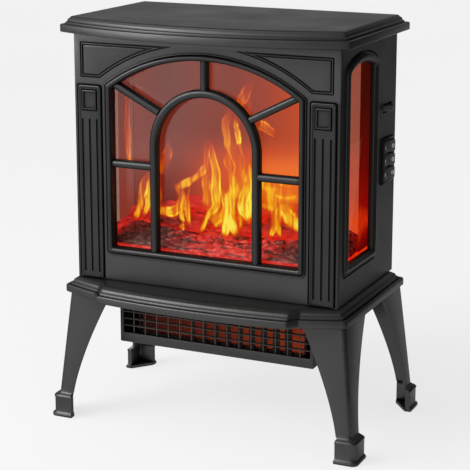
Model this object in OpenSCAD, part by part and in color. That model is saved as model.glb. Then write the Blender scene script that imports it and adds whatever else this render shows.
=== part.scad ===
// Free-standing electric fireplace in the shape of a small cast stove.
// A bowed top and hearth shelf, a body with an arched window in front and one in each side,
// a projected flame behind a bed of logs, a fan heater under the shelf and four splayed legs.
// Origin: floor level, centre of the footprint. +Z is up and the window faces -Y.

/* [Overall] */
// Height from the floor to the top of the cover
total_h = 540; // [530:1:560]
// Bottom of the hearth shelf above the floor
shelf_z = 174.5; // [165:0.5:185]
// Width of the body, across the front panel
body_w = 368; // [360:1:376]
// Depth of the body, front panel to back panel
body_d = 204; // [200:1:210]

/* [Top cover and shelf] */
// Width of the cover and of the shelf
ledge_w = 399; // [396:1:404]
// Distance from the body's centre to the middle of the bowed front edge
bow_front = 154; // [150:1:158]
// Radius of the bowed front edge
bow_r = 486; // [440:1:540]
// Distance from the body's centre to the back edge of the cover
ledge_back = 108; // [107:1:110]
// Height of the cover's vertical rim
rim_h = 10; // [8:0.5:12]

/* [Front window] */
// Half width of the window frame
win_half_w = 140; // [136:1:142]
// Bottom of the window frame above the floor
win_z0 = 230.5; // [226:0.5:236]
// Radius of the frame's shallow arch
win_r = 232; // [228:1:236]
// Top of the frame's arch above the floor
win_top = 502.5; // [498:0.5:506]
// Width of the frame's bead
bead_w = 10; // [8:0.5:12]
// Width of the glazing bars
bar_w = 11; // [9:0.5:12]
// Radius of the inner arch, to the middle of its bar
arch_r = 71.5; // [68:0.5:76]
// Centre of the inner arch above the floor
arch_z = 380; // [370:1:388]

/* [Side windows] */
// Half width of the side window frame
side_half_w = 56; // [52:1:58]
// Centre of the side window, from the body's centre
side_y = -26; // [-28:1:-24]
// Bottom of the side window frame above the floor
side_z0 = 232; // [228:1:236]
// Top of the side window frame above the floor
side_top = 504; // [498:1:506]

/* [Legs] */
// Half width across the feet
foot_half_w = 220; // [216:1:224]
// Half depth across the feet
foot_half_d = 124; // [120:1:128]
// Height of the moulded foot
foot_h = 31; // [28:1:36]
// Wall thickness of a leg
leg_t = 3.5; // [3:0.5:4.5]

/* [Heater] */
// Half width of the heater housing
heater_half_w = 140; // [136:1:144]
// Bottom of the heater housing above the floor
heater_z0 = 101; // [98:1:106]
// Distance from the body's centre to the heater's front
heater_front = 71; // [69:1:74]
// Radius of the blower wheel
wheel_r = 22; // [19:0.5:22.5]

/* [Controls] */
// Height of the middle rocker above the floor
rocker_z = 351.5; // [345:0.5:356]
// Distance between rockers
rocker_pitch = 18; // [17.8:0.1:18.4]
// Tilt of a rocker to each side of level
rocker_tilt = 8; // [5:1:9]
// Radius of the dimmer's thumbwheel
thumb_r = 16; // [15:0.5:16.5]

/* [Hidden] */
$fn = 96;
eps = 0.05;
sheet = 1.5;
y_shift = (bow_front - foot_half_d) / 2;
cover_z = total_h - rim_h - 10;
top_plate_z = cover_z - sheet;
shelf_h = 20.3;
body_z = shelf_z + shelf_h;
front_y = -body_d / 2;
back_y = body_d / 2;
panel_t = 4;
side_x = body_w / 2 - 1;
side_t = 3;
side_in = side_x - side_t;
win_cz = win_top - win_r;
side_r = 120;
screen_y = 36;
film_y = -68;
film_t = 0.8;
skirt_z = shelf_z - 7;
pan_half_w = 192;
pan_half_d = 103;
spindle_y = 66;
spindle_z = 250;
spindle_half = 140;
shaft_r = 2;
run_gap = 0.05;
wheel_y = 22;
wheel_z = heater_z0 + 34;
wheel_half = 88;
heater_back = 66;
heater_z1 = shelf_z - sheet;
switch_y = 71;
pivot_x = side_x - 4;
pin_r = 1.5;
thumb_x = side_x - 8;
thumb_y = 69.5;
thumb_z = 421.5;
thumb_t = 7;
screw_r = 1.7;
hole_r = 1.75;
gland_x = 140;
gland_z = 222;
gland_r = 8;
loom_x = 132;
loom_y = 60;
charcoal = [0.16, 0.16, 0.17];
steel = [0.62, 0.63, 0.65];

// ---- Helpers -------------------------------------------------------------

// Moves a drawing made about the body's centre to the footprint's centre
module place() translate([0, y_shift, 0]) children();

// Extrudes an (x, z) outline from y0 to y1
module front_slab(y0, y1) {
    translate([0, y1, 0]) rotate([90, 0, 0]) linear_extrude(y1 - y0) children();
}

// Extrudes a (y, z) outline from x0 to x1
module side_slab(x0, x1) {
    translate([x0, 0, 0]) rotate([90, 0, 90]) linear_extrude(x1 - x0) children();
}

// A box from its low corner to its high corner
module block(lo, hi) translate(lo) cube(hi - lo);

// Copies its children to the left and to the right
module both_sides() {
    children();
    mirror([1, 0, 0]) children();
}

// ---- Outlines ------------------------------------------------------------

// Plan of the cover: a rectangle with a bowed front, moved in by inset
module bow_plan(inset) {
    intersection() {
        translate([-ledge_w / 2 + inset, -bow_front + inset])
            square([ledge_w - 2 * inset, bow_front + ledge_back - 2 * inset]);
        translate([0, bow_r - bow_front]) circle(r = bow_r - inset, $fn = 360);
    }
}

// Plan of the shelf: the cover's plan with a flatter middle that stands out between two notches
module shelf_plan(inset) {
    middle_r = 936;
    bow_plan(inset);
    intersection() {
        translate([0, middle_r - bow_front]) circle(r = middle_r - inset, $fn = 720);
        polygon([[-155.8 + inset, -118], [-120.8 + inset, -158],
                 [120.8 - inset, -158], [155.8 - inset, -118]]);
    }
}

// Front window outline, moved in by inset
module window_2d(inset) {
    intersection() {
        translate([-win_half_w + inset, win_z0 + inset])
            square([2 * (win_half_w - inset), win_top - win_z0]);
        translate([0, win_cz]) circle(r = win_r - inset, $fn = 360);
    }
}

// Side window outline in (y, z), moved in by inset: an arch with rounded shoulders
module side_window_2d(inset) {
    shoulder_r = 16;
    reach = side_half_w - shoulder_r;
    arch_cz = side_top - side_r;
    rise = sqrt(pow(side_r - shoulder_r, 2) - pow(reach, 2));
    translate([side_y, 0]) {
        translate([inset - side_half_w, side_z0 + inset])
            square([2 * (side_half_w - inset), arch_cz + rise - side_z0 - inset]);
        for (s = [-1, 1])
            translate([s * reach, arch_cz + rise]) circle(r = shoulder_r - inset);
        intersection() {
            translate([0, arch_cz]) circle(r = side_r - inset, $fn = 360);
            translate([0, arch_cz])
                polygon([[0, 0], [1.5 * reach, 1.5 * rise], [-1.5 * reach, 1.5 * rise]]);
        }
    }
}

// Glazing bars of the given width: inner arch, posts, rails and three spokes
module bars_2d(w) {
    rail_z = 351.5;
    spoke_a = 27;
    intersection() {
        window_2d(bead_w / 2);
        union() {
            difference() {
                translate([0, arch_z]) circle(r = arch_r + w / 2, $fn = 180);
                translate([0, arch_z]) circle(r = arch_r - w / 2, $fn = 180);
                translate([-arch_r - w, arch_z - 2 * arch_r])
                    square([2 * (arch_r + w), 2 * arch_r]);
            }
            for (s = [-1, 1]) {
                translate([s * arch_r - w / 2, win_z0]) square([w, arch_z - win_z0]);
                translate([s > 0 ? arch_r : -win_half_w, rail_z - w / 2])
                    square([win_half_w - arch_r, w]);
                translate([s * 62, arch_z + 42]) rotate(s > 0 ? spoke_a : 180 - spoke_a)
                    translate([-4, -w / 2]) square([90, w]);
            }
            translate([-w / 2, arch_z + arch_r]) square([w, 60]);
        }
    }
}

// Corner panel ornament: the space between the arch and the panel's corner
module spandrel_2d(inset) {
    intersection() {
        translate([50 + 2 * inset, 462 + inset]) square([125 - 3 * inset, 46 - 2 * inset]);
        difference() {
            square([200, 560]);
            translate([0, win_cz]) circle(r = 241 + inset, $fn = 360);
        }
    }
}

// ---- Outer shell ---------------------------------------------------------

// Bowed cover with a stepped edge, hollow from below, with four screw bosses
module top_cover() color(charcoal) place() {
    steps = [[0, rim_h, 0], [rim_h, 2.5, 5], [rim_h + 2.5, 4, 8.5], [rim_h + 6.5, 3.5, 12]];
    difference() {
        for (s = steps)
            translate([0, 0, cover_z + s[0]]) linear_extrude(s[1]) bow_plan(s[2]);
        block([-side_in, front_y + panel_t, cover_z - eps], [side_in, back_y - 4, cover_z + 13]);
    }
    for (x = [-130, 130], y = [-70, 70])
        translate([x, y, cover_z]) difference() {
            cylinder(r = 5, h = 13);
            translate([0, 0, -eps]) cylinder(r = hole_r, h = 10);
        }
}

// Steel sheet that closes the body below the cover
module top_plate() color(steel) place() difference() {
    block([-side_in, front_y + panel_t, top_plate_z], [side_in, back_y - sheet, cover_z]);
    for (x = [-130, 130], y = [-70, 70])
        translate([x, y, top_plate_z - eps]) cylinder(r = hole_r + 0.3, h = sheet + 2 * eps);
    for (x = [-100:20:100])
        block([x - 6, 66, top_plate_z - eps], [x + 6, 70, cover_z + eps]);
}

// Flat front with the window opening, spandrels and pilasters in relief
module front_panel() color(charcoal) place() {
    groove = 1;
    difference() {
        union() {
            front_slab(front_y, front_y + panel_t) translate([-body_w / 2, body_z])
                square([body_w, cover_z - body_z]);
            both_sides() {
                block([144.5, front_y - 2, body_z + 3], [180, front_y, 453]);
                block([149, front_y - 3, 419.5], [174, front_y - 2, 448]);
            }
        }
        front_slab(front_y - eps, front_y + panel_t + eps) window_2d(3);
        both_sides() {
            front_slab(front_y - eps, front_y + groove) difference() {
                spandrel_2d(0);
                spandrel_2d(1.5);
            }
            front_slab(front_y - eps, front_y + groove) difference() {
                spandrel_2d(3.3);
                spandrel_2d(4.8);
            }
            for (x = [151.5, 162, 173])
                block([x - 1.6, front_y - 2 - eps, 201], [x + 1.6, front_y - 0.5, 408.5]);
            block([151.4, front_y - 3 - eps, 422], [171.6, front_y - 2.4, 445]);
        }
    }
}

// Beaded frame with its arched glazing bars
module window_frame() color(charcoal) place() {
    front_slab(front_y - 2.5, front_y) difference() {
        window_2d(0);
        window_2d(bead_w);
    }
    front_slab(front_y - 4.5, front_y - 2.5) difference() {
        window_2d(2);
        window_2d(bead_w - 2);
    }
    front_slab(front_y, front_y + 9) difference() {
        window_2d(3.2);
        window_2d(bead_w);
    }
    front_slab(front_y + 1, front_y + 9) bars_2d(bar_w);
    front_slab(front_y - 1, front_y + 1) bars_2d(bar_w - 3);
}

// Tinted glass behind the glazing bars
module front_glass() color([0.35, 0.12, 0.08, 0.4]) place()
    front_slab(front_y + 9.3, front_y + 12.3) window_2d(4);

// Clips that hold the front glass against the frame
module glass_clips() color(steel) place() both_sides()
    for (z = [250, 345, 430]) {
        block([win_half_w - 8, front_y + 12.4, z], [win_half_w + 12, front_y + 13.6, z + 12]);
        block([win_half_w + 2, front_y + panel_t, z], [win_half_w + 12, front_y + 12.4, z + 12]);
    }

// Side wall with its arched opening, a groove round the frame and a flange for the back panel.
// Drawn for the right.
module side_wall() difference() {
    union() {
        side_slab(side_in, side_x) translate([front_y + panel_t, body_z])
            square([body_d - panel_t, cover_z - body_z]);
        block([side_in - 16, back_y - sheet - 3, body_z], [side_in, back_y - sheet, top_plate_z]);
    }
    side_slab(side_in - eps, side_x + eps) side_window_2d(3);
    side_slab(side_x - 0.8, side_x + eps) difference() {
        side_window_2d(-3.5);
        side_window_2d(-2);
    }
    for (p = back_holes())
        translate([p[0], back_y, p[1]]) rotate([90, 0, 0]) cylinder(r = hole_r, h = 6);
}

module left_panel() color(charcoal) place() mirror([1, 0, 0]) side_wall();

// Right wall, which also carries the switches and the dimmer
module right_panel() color(charcoal) place() difference() {
    side_wall();
    block([side_in - eps, switch_y - 19, rocker_z - 26.9],
          [side_x + eps, switch_y + 19, rocker_z + 26.9]);
    block([side_in - eps, thumb_y - 16.6, thumb_z - 6],
          [side_x + eps, thumb_y + 16.6, thumb_z + 6]);
}

// Beaded frame of a side window, drawn for the right wall
module side_frame() {
    side_slab(side_x, side_x + 2.5) difference() {
        side_window_2d(0);
        side_window_2d(11);
    }
    side_slab(side_x + 2.5, side_x + 4) difference() {
        side_window_2d(2);
        side_window_2d(9);
    }
    side_slab(side_in - 3, side_x) difference() {
        side_window_2d(3.2);
        side_window_2d(11);
    }
}

module left_window_frame() color(charcoal) place() mirror([1, 0, 0]) side_frame();
module right_window_frame() color(charcoal) place() side_frame();

// Glass of a side window, drawn for the right wall
module side_glass() side_slab(side_in - 5.5, side_in - 3) side_window_2d(4);

module left_glass() color([0.35, 0.12, 0.08, 0.4]) place() mirror([1, 0, 0]) side_glass();
module right_glass() color([0.35, 0.12, 0.08, 0.4]) place() side_glass();

// Screw places of the back panel, as (x, z)
function back_holes() = [for (x = [-172, 172], z = [204, 290, 400, 510]) [x, z]];

// Steel back with air slots, the gland's hole and eight screw holes
module back_panel() color(charcoal) place() difference() {
    block([-side_in, back_y - sheet, body_z], [side_in, back_y, cover_z]);
    for (x = [-120:20:120], z = [455:14:497])
        block([x - 7, back_y - sheet - eps, z], [x + 7, back_y + eps, z + 5]);
    for (x = [-120:20:80], z = [212:14:240])
        block([x - 7, back_y - sheet - eps, z], [x + 7, back_y + eps, z + 5]);
    for (p = back_holes())
        translate([p[0], back_y + eps, p[1]]) rotate([90, 0, 0])
            cylinder(r = hole_r + 0.2, h = sheet + 2 * eps);
    translate([gland_x, back_y + eps, gland_z]) rotate([90, 0, 0])
        cylinder(r = gland_r + 0.2, h = sheet + 2 * eps);
}

// Hearth shelf moulding, hollow from below
module hearth_shelf() color(charcoal) place() {
    steps = [[0, rim_h, 0], [rim_h, 3, 4], [rim_h + 3, 3.5, 8], [rim_h + 6.5, 3.8, 12]];
    difference() {
        for (s = steps)
            translate([0, 0, shelf_z + s[0]]) linear_extrude(s[1]) shelf_plan(s[2]);
        block([4 - pan_half_w, 4 - pan_half_d, shelf_z - eps],
              [pan_half_w - 4, pan_half_d - 4, body_z - 4]);
        translate([loom_x, loom_y, shelf_z]) cylinder(r = 6, h = shelf_h + 1);
    }
}

// ---- Base and legs -------------------------------------------------------

// Screw places of one leg, measured in from the pan's corner
leg_holes = [[34, 14], [14, 38]];

// Steel pan under the shelf, with a skirt and threaded bosses for the legs
module base_pan() color([0.13, 0.13, 0.14]) place() {
    difference() {
        block([-pan_half_w, -pan_half_d, skirt_z], [pan_half_w, pan_half_d, shelf_z]);
        block([-pan_half_w + sheet, -pan_half_d + sheet, skirt_z - eps],
              [pan_half_w - sheet, pan_half_d - sheet, shelf_z - sheet]);
        translate([loom_x, loom_y, skirt_z]) cylinder(r = 6, h = 10);
        for (x = [-134, 134], y = [-40, 40])
            translate([x, y, skirt_z]) cylinder(r = hole_r, h = 10);
    }
    for (sx = [-1, 1], sy = [-1, 1], h = leg_holes)
        translate([sx * (pan_half_w - h[0]), sy * (pan_half_d - h[1]), skirt_z])
            difference() {
                cylinder(r = 4.5, h = 5.5);
                translate([0, 0, -eps]) cylinder(r = hole_r, h = 5);
            }
}

// Section of a leg at height z: an angle whose flanges widen upwards and whose corner splays out.
// The points run round the angle from the end of the flange in x to the end of the one in y.
function leg_rise(z) = (z - foot_h) / (shelf_z - foot_h);
function leg_corner(z) = [foot_half_w - 9 - 15.5 * leg_rise(z), foot_half_d - 7 - 10.5 * leg_rise(z)];
function leg_wx(z) = 21.5 + 38.7 * pow(leg_rise(z), 1.55);
function leg_wy(z) = 26 + 48.8 * pow(leg_rise(z), 1.9);
function leg_section(z) = let (c = leg_corner(z), a = leg_wx(z), b = leg_wy(z)) [
    [c[0] - a, c[1], z], [c[0] - a, c[1] - leg_t, z], [c[0] - leg_t, c[1] - leg_t, z],
    [c[0] - leg_t, c[1] - b, z], [c[0], c[1] - b, z], [c[0], c[1], z]
];

// One leg, drawn for the corner with positive x and y
module leg() color(charcoal) {
    rings = 12;
    z_top = shelf_z - 0.2;
    heights = [for (i = [0:rings]) foot_h + (z_top - foot_h) * i / rings];
    points = [for (z = heights) each leg_section(z)];
    ends = [[0, 1, 2, 5], [2, 3, 4, 5]];
    last = 6 * rings;
    walls = [for (i = [0:rings - 1], j = [0:5])
        let (a = 6 * i + j, b = 6 * i + (j + 1) % 6) each [[a, a + 6, b + 6], [a, b + 6, b]]];
    caps = concat([for (f = ends) f],
                  [for (f = ends) [for (k = [3:-1:0]) last + f[k]]]);
    // Angle-section upright, kept clear of the pan's skirt
    difference() {
        polyhedron(points, concat(walls, caps));
        block([0, 0, skirt_z], [pan_half_w + 0.1, pan_half_d + 0.1, shelf_z + 1]);
    }
    // Mounting plate under the pan
    difference() {
        block([pan_half_w - 46, pan_half_d - 50, skirt_z - 3.1],
              [pan_half_w + 2, pan_half_d + 2, skirt_z - 0.1]);
        translate([pan_half_w - 46, pan_half_d - 50, skirt_z - 4]) rotate([0, 0, 45])
            cube([40, 40, 10], center = true);
        for (h = leg_holes)
            translate([pan_half_w - h[0], pan_half_d - h[1], skirt_z - 4])
                cylinder(r = hole_r + 0.3, h = 6);
    }
    foot();
}

// Hollow corner foot with a collar and a flared base
module foot() {
    x1 = foot_half_w;
    y1 = foot_half_d;
    difference() {
        union() {
            block([x1 - 29.5, y1 - 35, 4], [x1 - 2.5, y1 - 2.5, foot_h - 3]);
            block([x1 - 31, y1 - 37, foot_h - 3], [x1 - 5, y1 - 5, foot_h]);
        }
        block([x1 - 33, y1 - 39, 4 - eps], [x1 - 9, y1 - 9, foot_h - 5]);
        block([x1 - 33, y1 - 39, foot_h - 6], [x1 - 12.5, y1 - 10.5, foot_h + 1]);
    }
    difference() {
        block([x1 - 32, y1 - 37.5, 0.6], [x1, y1, 5]);
        translate([x1 - 34, y1 - 39, 0]) rotate([0, 0, 45]) cube([33, 33, 20], center = true);
        translate([x1 - 12, y1 - 12, 0]) cylinder(r = 7.2, h = 2.5);
    }
}

module leg_front_left() place() mirror([1, 0, 0]) mirror([0, 1, 0]) leg();
module leg_front_right() place() mirror([0, 1, 0]) leg();
module leg_back_left() place() mirror([1, 0, 0]) leg();
module leg_back_right() place() leg();

// Rubber pads let into the feet
module foot_pads() color([0.06, 0.06, 0.06]) place()
    for (sx = [-1, 1], sy = [-1, 1])
        translate([sx * (foot_half_w - 12), sy * (foot_half_d - 12), 0]) cylinder(r = 7, h = 2.4);

// ---- Firebox -------------------------------------------------------------

// Dark sheet over the firebox
module firebox_ceiling() color([0.08, 0.07, 0.07]) place()
    block([-side_in + 7, front_y + 14, 507], [side_in - 7, screen_y, 507 + sheet]);

// Diffusing screen that carries the flame picture
module flame_screen() color([0.75, 0.35, 0.15, 0.8]) place()
    block([-side_in + 7, screen_y, body_z + 0.2], [side_in - 7, screen_y + 3, 507 + sheet]);

// Clear film in front of the logs that carries the nearer flames
module flame_film() color([0.9, 0.5, 0.15, 0.4]) place()
    block([-side_in + 12, film_y, bed_top(film_y + film_t) + 0.2],
          [side_in - 12, film_y + film_t, 470]);

// Height of the ember bed's top at depth y
function bed_top(y) = 246 + 30 * pow((y - front_y - 16) / (screen_y - front_y - 17), 0.8);

// Moulded bed of embers, hollow from below
module ember_bed() color([0.5, 0.14, 0.07]) place() {
    y0 = front_y + 16;
    y1 = screen_y - 1;
    steps = 10;
    top = [for (i = [0:steps]) let (y = y0 + (y1 - y0) * i / steps) [y, bed_top(y)]];
    under = [for (i = [steps:-1:0]) let (y = y0 + 3 + (y1 - y0 - 6) * i / steps)
        [y, bed_top(y) - 3]];
    side_slab(-side_in + 9, side_in - 9)
        polygon(concat([[y0, body_z + 0.2]], top, [[y1, body_z + 0.2], [y1 - 3, body_z + 0.2]],
                       under, [[y0 + 3, body_z + 0.2]]));
}

// One log, drawn along x from its middle, with a branch stub
module log_shape(length, r) color([0.28, 0.2, 0.15]) {
    translate([-length / 2, 0, 0]) rotate([0, 90, 0]) cylinder(r = r, h = length, $fn = 48);
    translate([length * 0.18, 0, 0]) rotate([-35, 0, 0]) cylinder(r = r * 0.45, h = r + 8, $fn = 32);
}

module log_left() place()
    translate([-84, -38, bed_top(-38) + 12]) rotate([0, -3, -14]) log_shape(126, 12);
module log_right() place()
    translate([86, -36, bed_top(-36) + 12]) rotate([0, 3, 12]) log_shape(124, 12);
module log_back() place()
    translate([4, 8, bed_top(8) + 13]) rotate([0, 0, 4]) log_shape(170, 13);

// Row of light-emitting diodes on a board, along x
module led_board(half, y, z) {
    block([-half, y - 6, z], [half, y + 6, z + 1.6]);
    for (x = [-half + 10:16:half - 8])
        block([x - 1.8, y - 1.8, z + 1.6], [x + 1.8, y + 1.8, z + 3]);
}

module ember_led_board() color([0.1, 0.35, 0.2]) place() led_board(150, -30, body_z + 0.2);
module flame_led_board() color([0.1, 0.35, 0.2]) place() led_board(130, 50, body_z + 0.2);

// Turning shaft whose bright vanes throw moving light on the screen
module flame_spindle() color([0.85, 0.85, 0.87]) place()
    translate([0, spindle_y, spindle_z]) {
        translate([-spindle_half - 8, 0, 0]) rotate([0, 90, 0])
            cylinder(r = shaft_r, h = 2 * spindle_half + 18);
        for (i = [0:16])
            translate([-spindle_half + 12 + i * 16.2, 0, 0]) rotate([i * 67, 0, 0])
                rotate([0, 0, 18]) block([-5, -0.5, 0], [5, 0.5, 13]);
    }

// Gear motor that turns the spindle, with its bracket
module spindle_motor() color([0.7, 0.7, 0.68]) place()
    translate([spindle_half + 3, spindle_y, spindle_z]) difference() {
        union() {
            rotate([0, 90, 0]) cylinder(r = 17, h = 18);
            block([2, -22, -6], [4, 22, 6]);
            block([8, -10, body_z + 0.2 - spindle_z], [10, 10, -10]);
            block([-4, -10, body_z + 0.2 - spindle_z], [16, 10, body_z + 1.7 - spindle_z]);
        }
        translate([-eps, 0, 0]) rotate([0, 90, 0]) cylinder(r = shaft_r + run_gap, h = 9);
    }

// Bracket with a bush at the spindle's free end
module spindle_bracket() color(steel) place()
    translate([-spindle_half - 6, spindle_y, spindle_z]) difference() {
        union() {
            block([-2, -9, body_z + 0.2 - spindle_z], [2, 9, 9]);
            block([-14, -9, body_z + 0.2 - spindle_z], [2, 9, body_z + 1.7 - spindle_z]);
        }
        translate([-4, 0, 0]) rotate([0, 90, 0]) cylinder(r = shaft_r + run_gap, h = 10);
    }

// ---- Heater --------------------------------------------------------------

// Steel housing under the pan, open in front, with inlet slots at the back
module heater_housing() color([0.12, 0.12, 0.13]) place() difference() {
    union() {
        block([-heater_half_w, -heater_front + 3, heater_z0],
              [heater_half_w, heater_back, heater_z1]);
        both_sides() block([127, -52, heater_z1 - sheet], [heater_half_w + 5, 52, heater_z1]);
    }
    block([-heater_half_w + sheet, -heater_front, heater_z0 + sheet],
          [heater_half_w - sheet, heater_back - sheet, heater_z1 + 1]);
    for (x = [-120:12:120], z = [heater_z0 + 14:9:heater_z0 + 50])
        block([x - 4, heater_back - 2, z], [x + 4, heater_back + 1, z + 4]);
    for (x = [-134, 134], y = [-40, 40])
        translate([x, y, heater_z1 - 4]) cylinder(r = hole_r + 0.2, h = 6);
}

// Front frame of the heater with its slats and upright bars
module heater_grille() color(charcoal) place() {
    z0 = heater_z0;
    z1 = heater_z1;
    front_slab(-heater_front, -heater_front + 3) difference() {
        translate([-heater_half_w, z0]) square([2 * heater_half_w, z1 - z0]);
        translate([-heater_half_w + 5, z0 + 13]) square([2 * heater_half_w - 10, z1 - z0 - 18]);
    }
    for (i = [1:5])
        block([-heater_half_w + 4, -heater_front + 1, z0 + 13 + i * 9.7 - 0.9],
              [heater_half_w - 4, -heater_front + 6, z0 + 13 + i * 9.7 + 0.9]);
    for (i = [-7:7])
        block([i * 17.2 - 0.8, -heater_front + 1.6, z0 + 10],
              [i * 17.2 + 0.8, -heater_front + 3.4, z1 - 3]);
}

// Finned ceramic heating element in its frame
module heating_element() color([0.75, 0.72, 0.66]) place() {
    y0 = -52;
    z0 = heater_z0 + 8;
    z1 = skirt_z - 8;
    for (z = [z0, z1 - 3]) block([-122, y0, z], [122, y0 + 14, z + 3]);
    for (x = [-122, 119]) block([x, y0, z0], [x + 3, y0 + 14, z1]);
    for (z = [z0 + 15, z0 + 30]) block([-122, y0 + 3, z], [122, y0 + 11, z + 3]);
    for (i = [-15:15]) block([i * 7.6 - 0.5, y0 + 2, z0 + 3 - eps], [i * 7.6 + 0.5, y0 + 12, z1 - 3 + eps]);
}

// Safety switch on the housing's floor beside the element
module thermal_cutout() color([0.85, 0.8, 0.7]) place()
    translate([131, -44, heater_z0 + sheet]) {
        cylinder(r = 6, h = 6);
        for (s = [-1, 1]) block([s * 3 - 0.4, -2.5, 6], [s * 3 + 0.4, 2.5, 12]);
    }

// Curved duct round the blower wheel with two end plates that carry its bearings
module blower_scroll() color(steel) place() translate([0, wheel_y, wheel_z]) {
    r0 = wheel_r + 3;
    end_x = wheel_half + 4;
    side_slab(-end_x, end_x) difference() {
        circle(r = r0 + sheet);
        circle(r = r0);
        translate([-60, -60]) square([60, 60]);
        translate([-60, -10]) square([60, 14]);
    }
    side_slab(-end_x, end_x) translate([-42, -r0 - sheet]) square([42, sheet]);
    both_sides() difference() {
        union() {
            side_slab(end_x, end_x + 2) circle(r = r0 + 3);
            side_slab(end_x, end_x + 2) translate([-9, -wheel_z + heater_z0 + sheet])
                square([18, wheel_z - heater_z0 - sheet]);
        }
        translate([end_x - 1, 0, 0]) rotate([0, 90, 0]) cylinder(r = 3 + run_gap, h = 4);
    }
}

// Barrel-shaped blower wheel on its shaft
module blower_wheel() color([0.75, 0.76, 0.78]) place() translate([0, wheel_y, wheel_z]) {
    blades = 24;
    for (x = [-wheel_half, -0.75, wheel_half - 1.5])
        translate([x, 0, 0]) rotate([0, 90, 0]) cylinder(r = wheel_r, h = 1.5);
    for (i = [0:blades - 1])
        rotate([i * 360 / blades, 0, 0]) translate([0, 0, wheel_r - 7]) rotate([28, 0, 0])
            block([-wheel_half, -0.4, 0], [wheel_half, 0.4, 6]);
    translate([-wheel_half - 8, 0, 0]) rotate([0, 90, 0]) cylinder(r = 3, h = 2 * wheel_half + 22);
}

// Motor at the blower's right end
module blower_motor() color([0.7, 0.7, 0.68]) place() translate([0, wheel_y, wheel_z]) difference() {
    union() {
        translate([wheel_half + 7, 0, 0]) rotate([0, 90, 0]) cylinder(r = 19, h = 26);
        block([wheel_half + 12, -12, heater_z0 + sheet - wheel_z], [wheel_half + 28, 12, -14]);
    }
    translate([wheel_half + 6, 0, 0]) rotate([0, 90, 0]) cylinder(r = 3 + run_gap, h = 12);
}

// ---- Controls ------------------------------------------------------------

// Frame round the three rockers
module switch_bezel() color([0.09, 0.09, 0.1]) place() difference() {
    block([side_x, switch_y - 21.5, rocker_z - 30.5], [side_x + 2.5, switch_y + 21.5, rocker_z + 30.5]);
    for (k = [-1:1])
        block([side_x - 1, switch_y - 17.9, rocker_z + k * rocker_pitch - 7.6],
              [side_x + 4, switch_y + 17.9, rocker_z + k * rocker_pitch + 7.6]);
}

// The three switch bodies, each with two ears for its rocker's pins and three terminals
module switch_bodies() color([0.85, 0.84, 0.8]) place() for (k = [-1:1])
    translate([0, switch_y, rocker_z + k * rocker_pitch]) {
        block([pivot_x - 26, -17, -6.9], [pivot_x - 6, 17, 6.9]);
        for (s = [-1, 1]) difference() {
            block([pivot_x - 8, -4, s > 0 ? 7.55 : -8.7], [pivot_x + 3, 4, s > 0 ? 8.7 : -7.55]);
            translate([pivot_x, 0, -10]) cylinder(r = pin_r + run_gap, h = 20);
        }
        for (s = [-1, 1])
            block([pivot_x - 9, -4, s > 0 ? 6.8 : -8.7], [pivot_x - 6.5, 4, s > 0 ? 8.7 : -6.8]);
        for (y = [-11, 0, 11]) block([pivot_x - 34, y - 2.4, -0.4], [pivot_x - 26, y + 2.4, 0.4]);
    }

// Rocker at place k of the row: a shallow V on two pins, raised marks on its ends
module rocker(k) color([0.07, 0.07, 0.075]) place()
    translate([pivot_x, switch_y, rocker_z + k * rocker_pitch]) rotate([0, 0, -rocker_tilt]) {
        translate([0, 0, -7.2]) linear_extrude(14.4)
            polygon([[-2, -6], [3, -16.4], [8.6, -16.4], [6.4, 0], [8.6, 16.4], [3, 16.4], [-2, 6]]);
        translate([0, 0, -8.6]) cylinder(r = pin_r, h = 17.2, $fn = 48);
    }

module rocker_flame() rocker(1);
module rocker_low_heat() rocker(0);
module rocker_high_heat() rocker(-1);

// Ribbed thumbwheel on its shaft
module dimmer_wheel() color([0.08, 0.08, 0.085]) place() translate([thumb_x, thumb_y, thumb_z]) {
    ribs = 36;
    translate([0, 0, -thumb_t / 2]) difference() {
        cylinder(r = thumb_r, h = thumb_t);
        for (i = [0:ribs - 1])
            rotate([0, 0, i * 360 / ribs]) translate([thumb_r + 0.25, 0, -eps])
                cylinder(r = 0.7, h = thumb_t + 2 * eps, $fn = 16);
    }
    translate([0, 0, -14]) cylinder(r = 2.95, h = 14);
}

// Body of the dimmer under its wheel, with a foot to the side wall
module dimmer_body() color([0.2, 0.3, 0.5]) place() translate([thumb_x, thumb_y, thumb_z]) difference() {
    union() {
        block([-11, -11, -22], [4.5, 11, -8]);
        block([0, -16, -20], [side_in - thumb_x, 16, -12]);
    }
    translate([0, 0, -15]) cylinder(r = 2.95 + run_gap, h = 8);
}

// Circuit board on posts at the back, with its relay and capacitor
module control_board() color([0.1, 0.35, 0.2]) place() {
    block([-60, 88, 300], [50, 89.6, 380]);
    for (x = [-55, 45], z = [305, 375])
        translate([x, back_y - sheet, z]) rotate([90, 0, 0])
            cylinder(r = 3, h = back_y - sheet - 89.6);
    block([-48, 73, 310], [-30, 88, 325]);
    block([-48, 73, 330], [-30, 88, 345]);
    translate([10, 88, 330]) rotate([90, 0, 0]) cylinder(r = 6, h = 18);
    block([30, 80, 350], [44, 88, 372]);
}

// Mains terminal block on the shelf deck
module terminal_block() color([0.9, 0.88, 0.82]) place() translate([104, 84, body_z + 0.2]) {
    block([-20, -8, 0], [20, 8, 11]);
    for (x = [-13.5, 0, 13.5]) block([x - 4.5, -5, 11], [x + 4.5, 5, 14]);
}

// One straight stretch of wires from a to b with a round bend at b
module wire(a, b, r = 3) {
    d = b - a;
    translate(a) rotate([0, acos(d[2] / norm(d)), atan2(d[1], d[0])]) cylinder(r = r, h = norm(d));
    translate(b) sphere(r = r);
}

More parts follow.
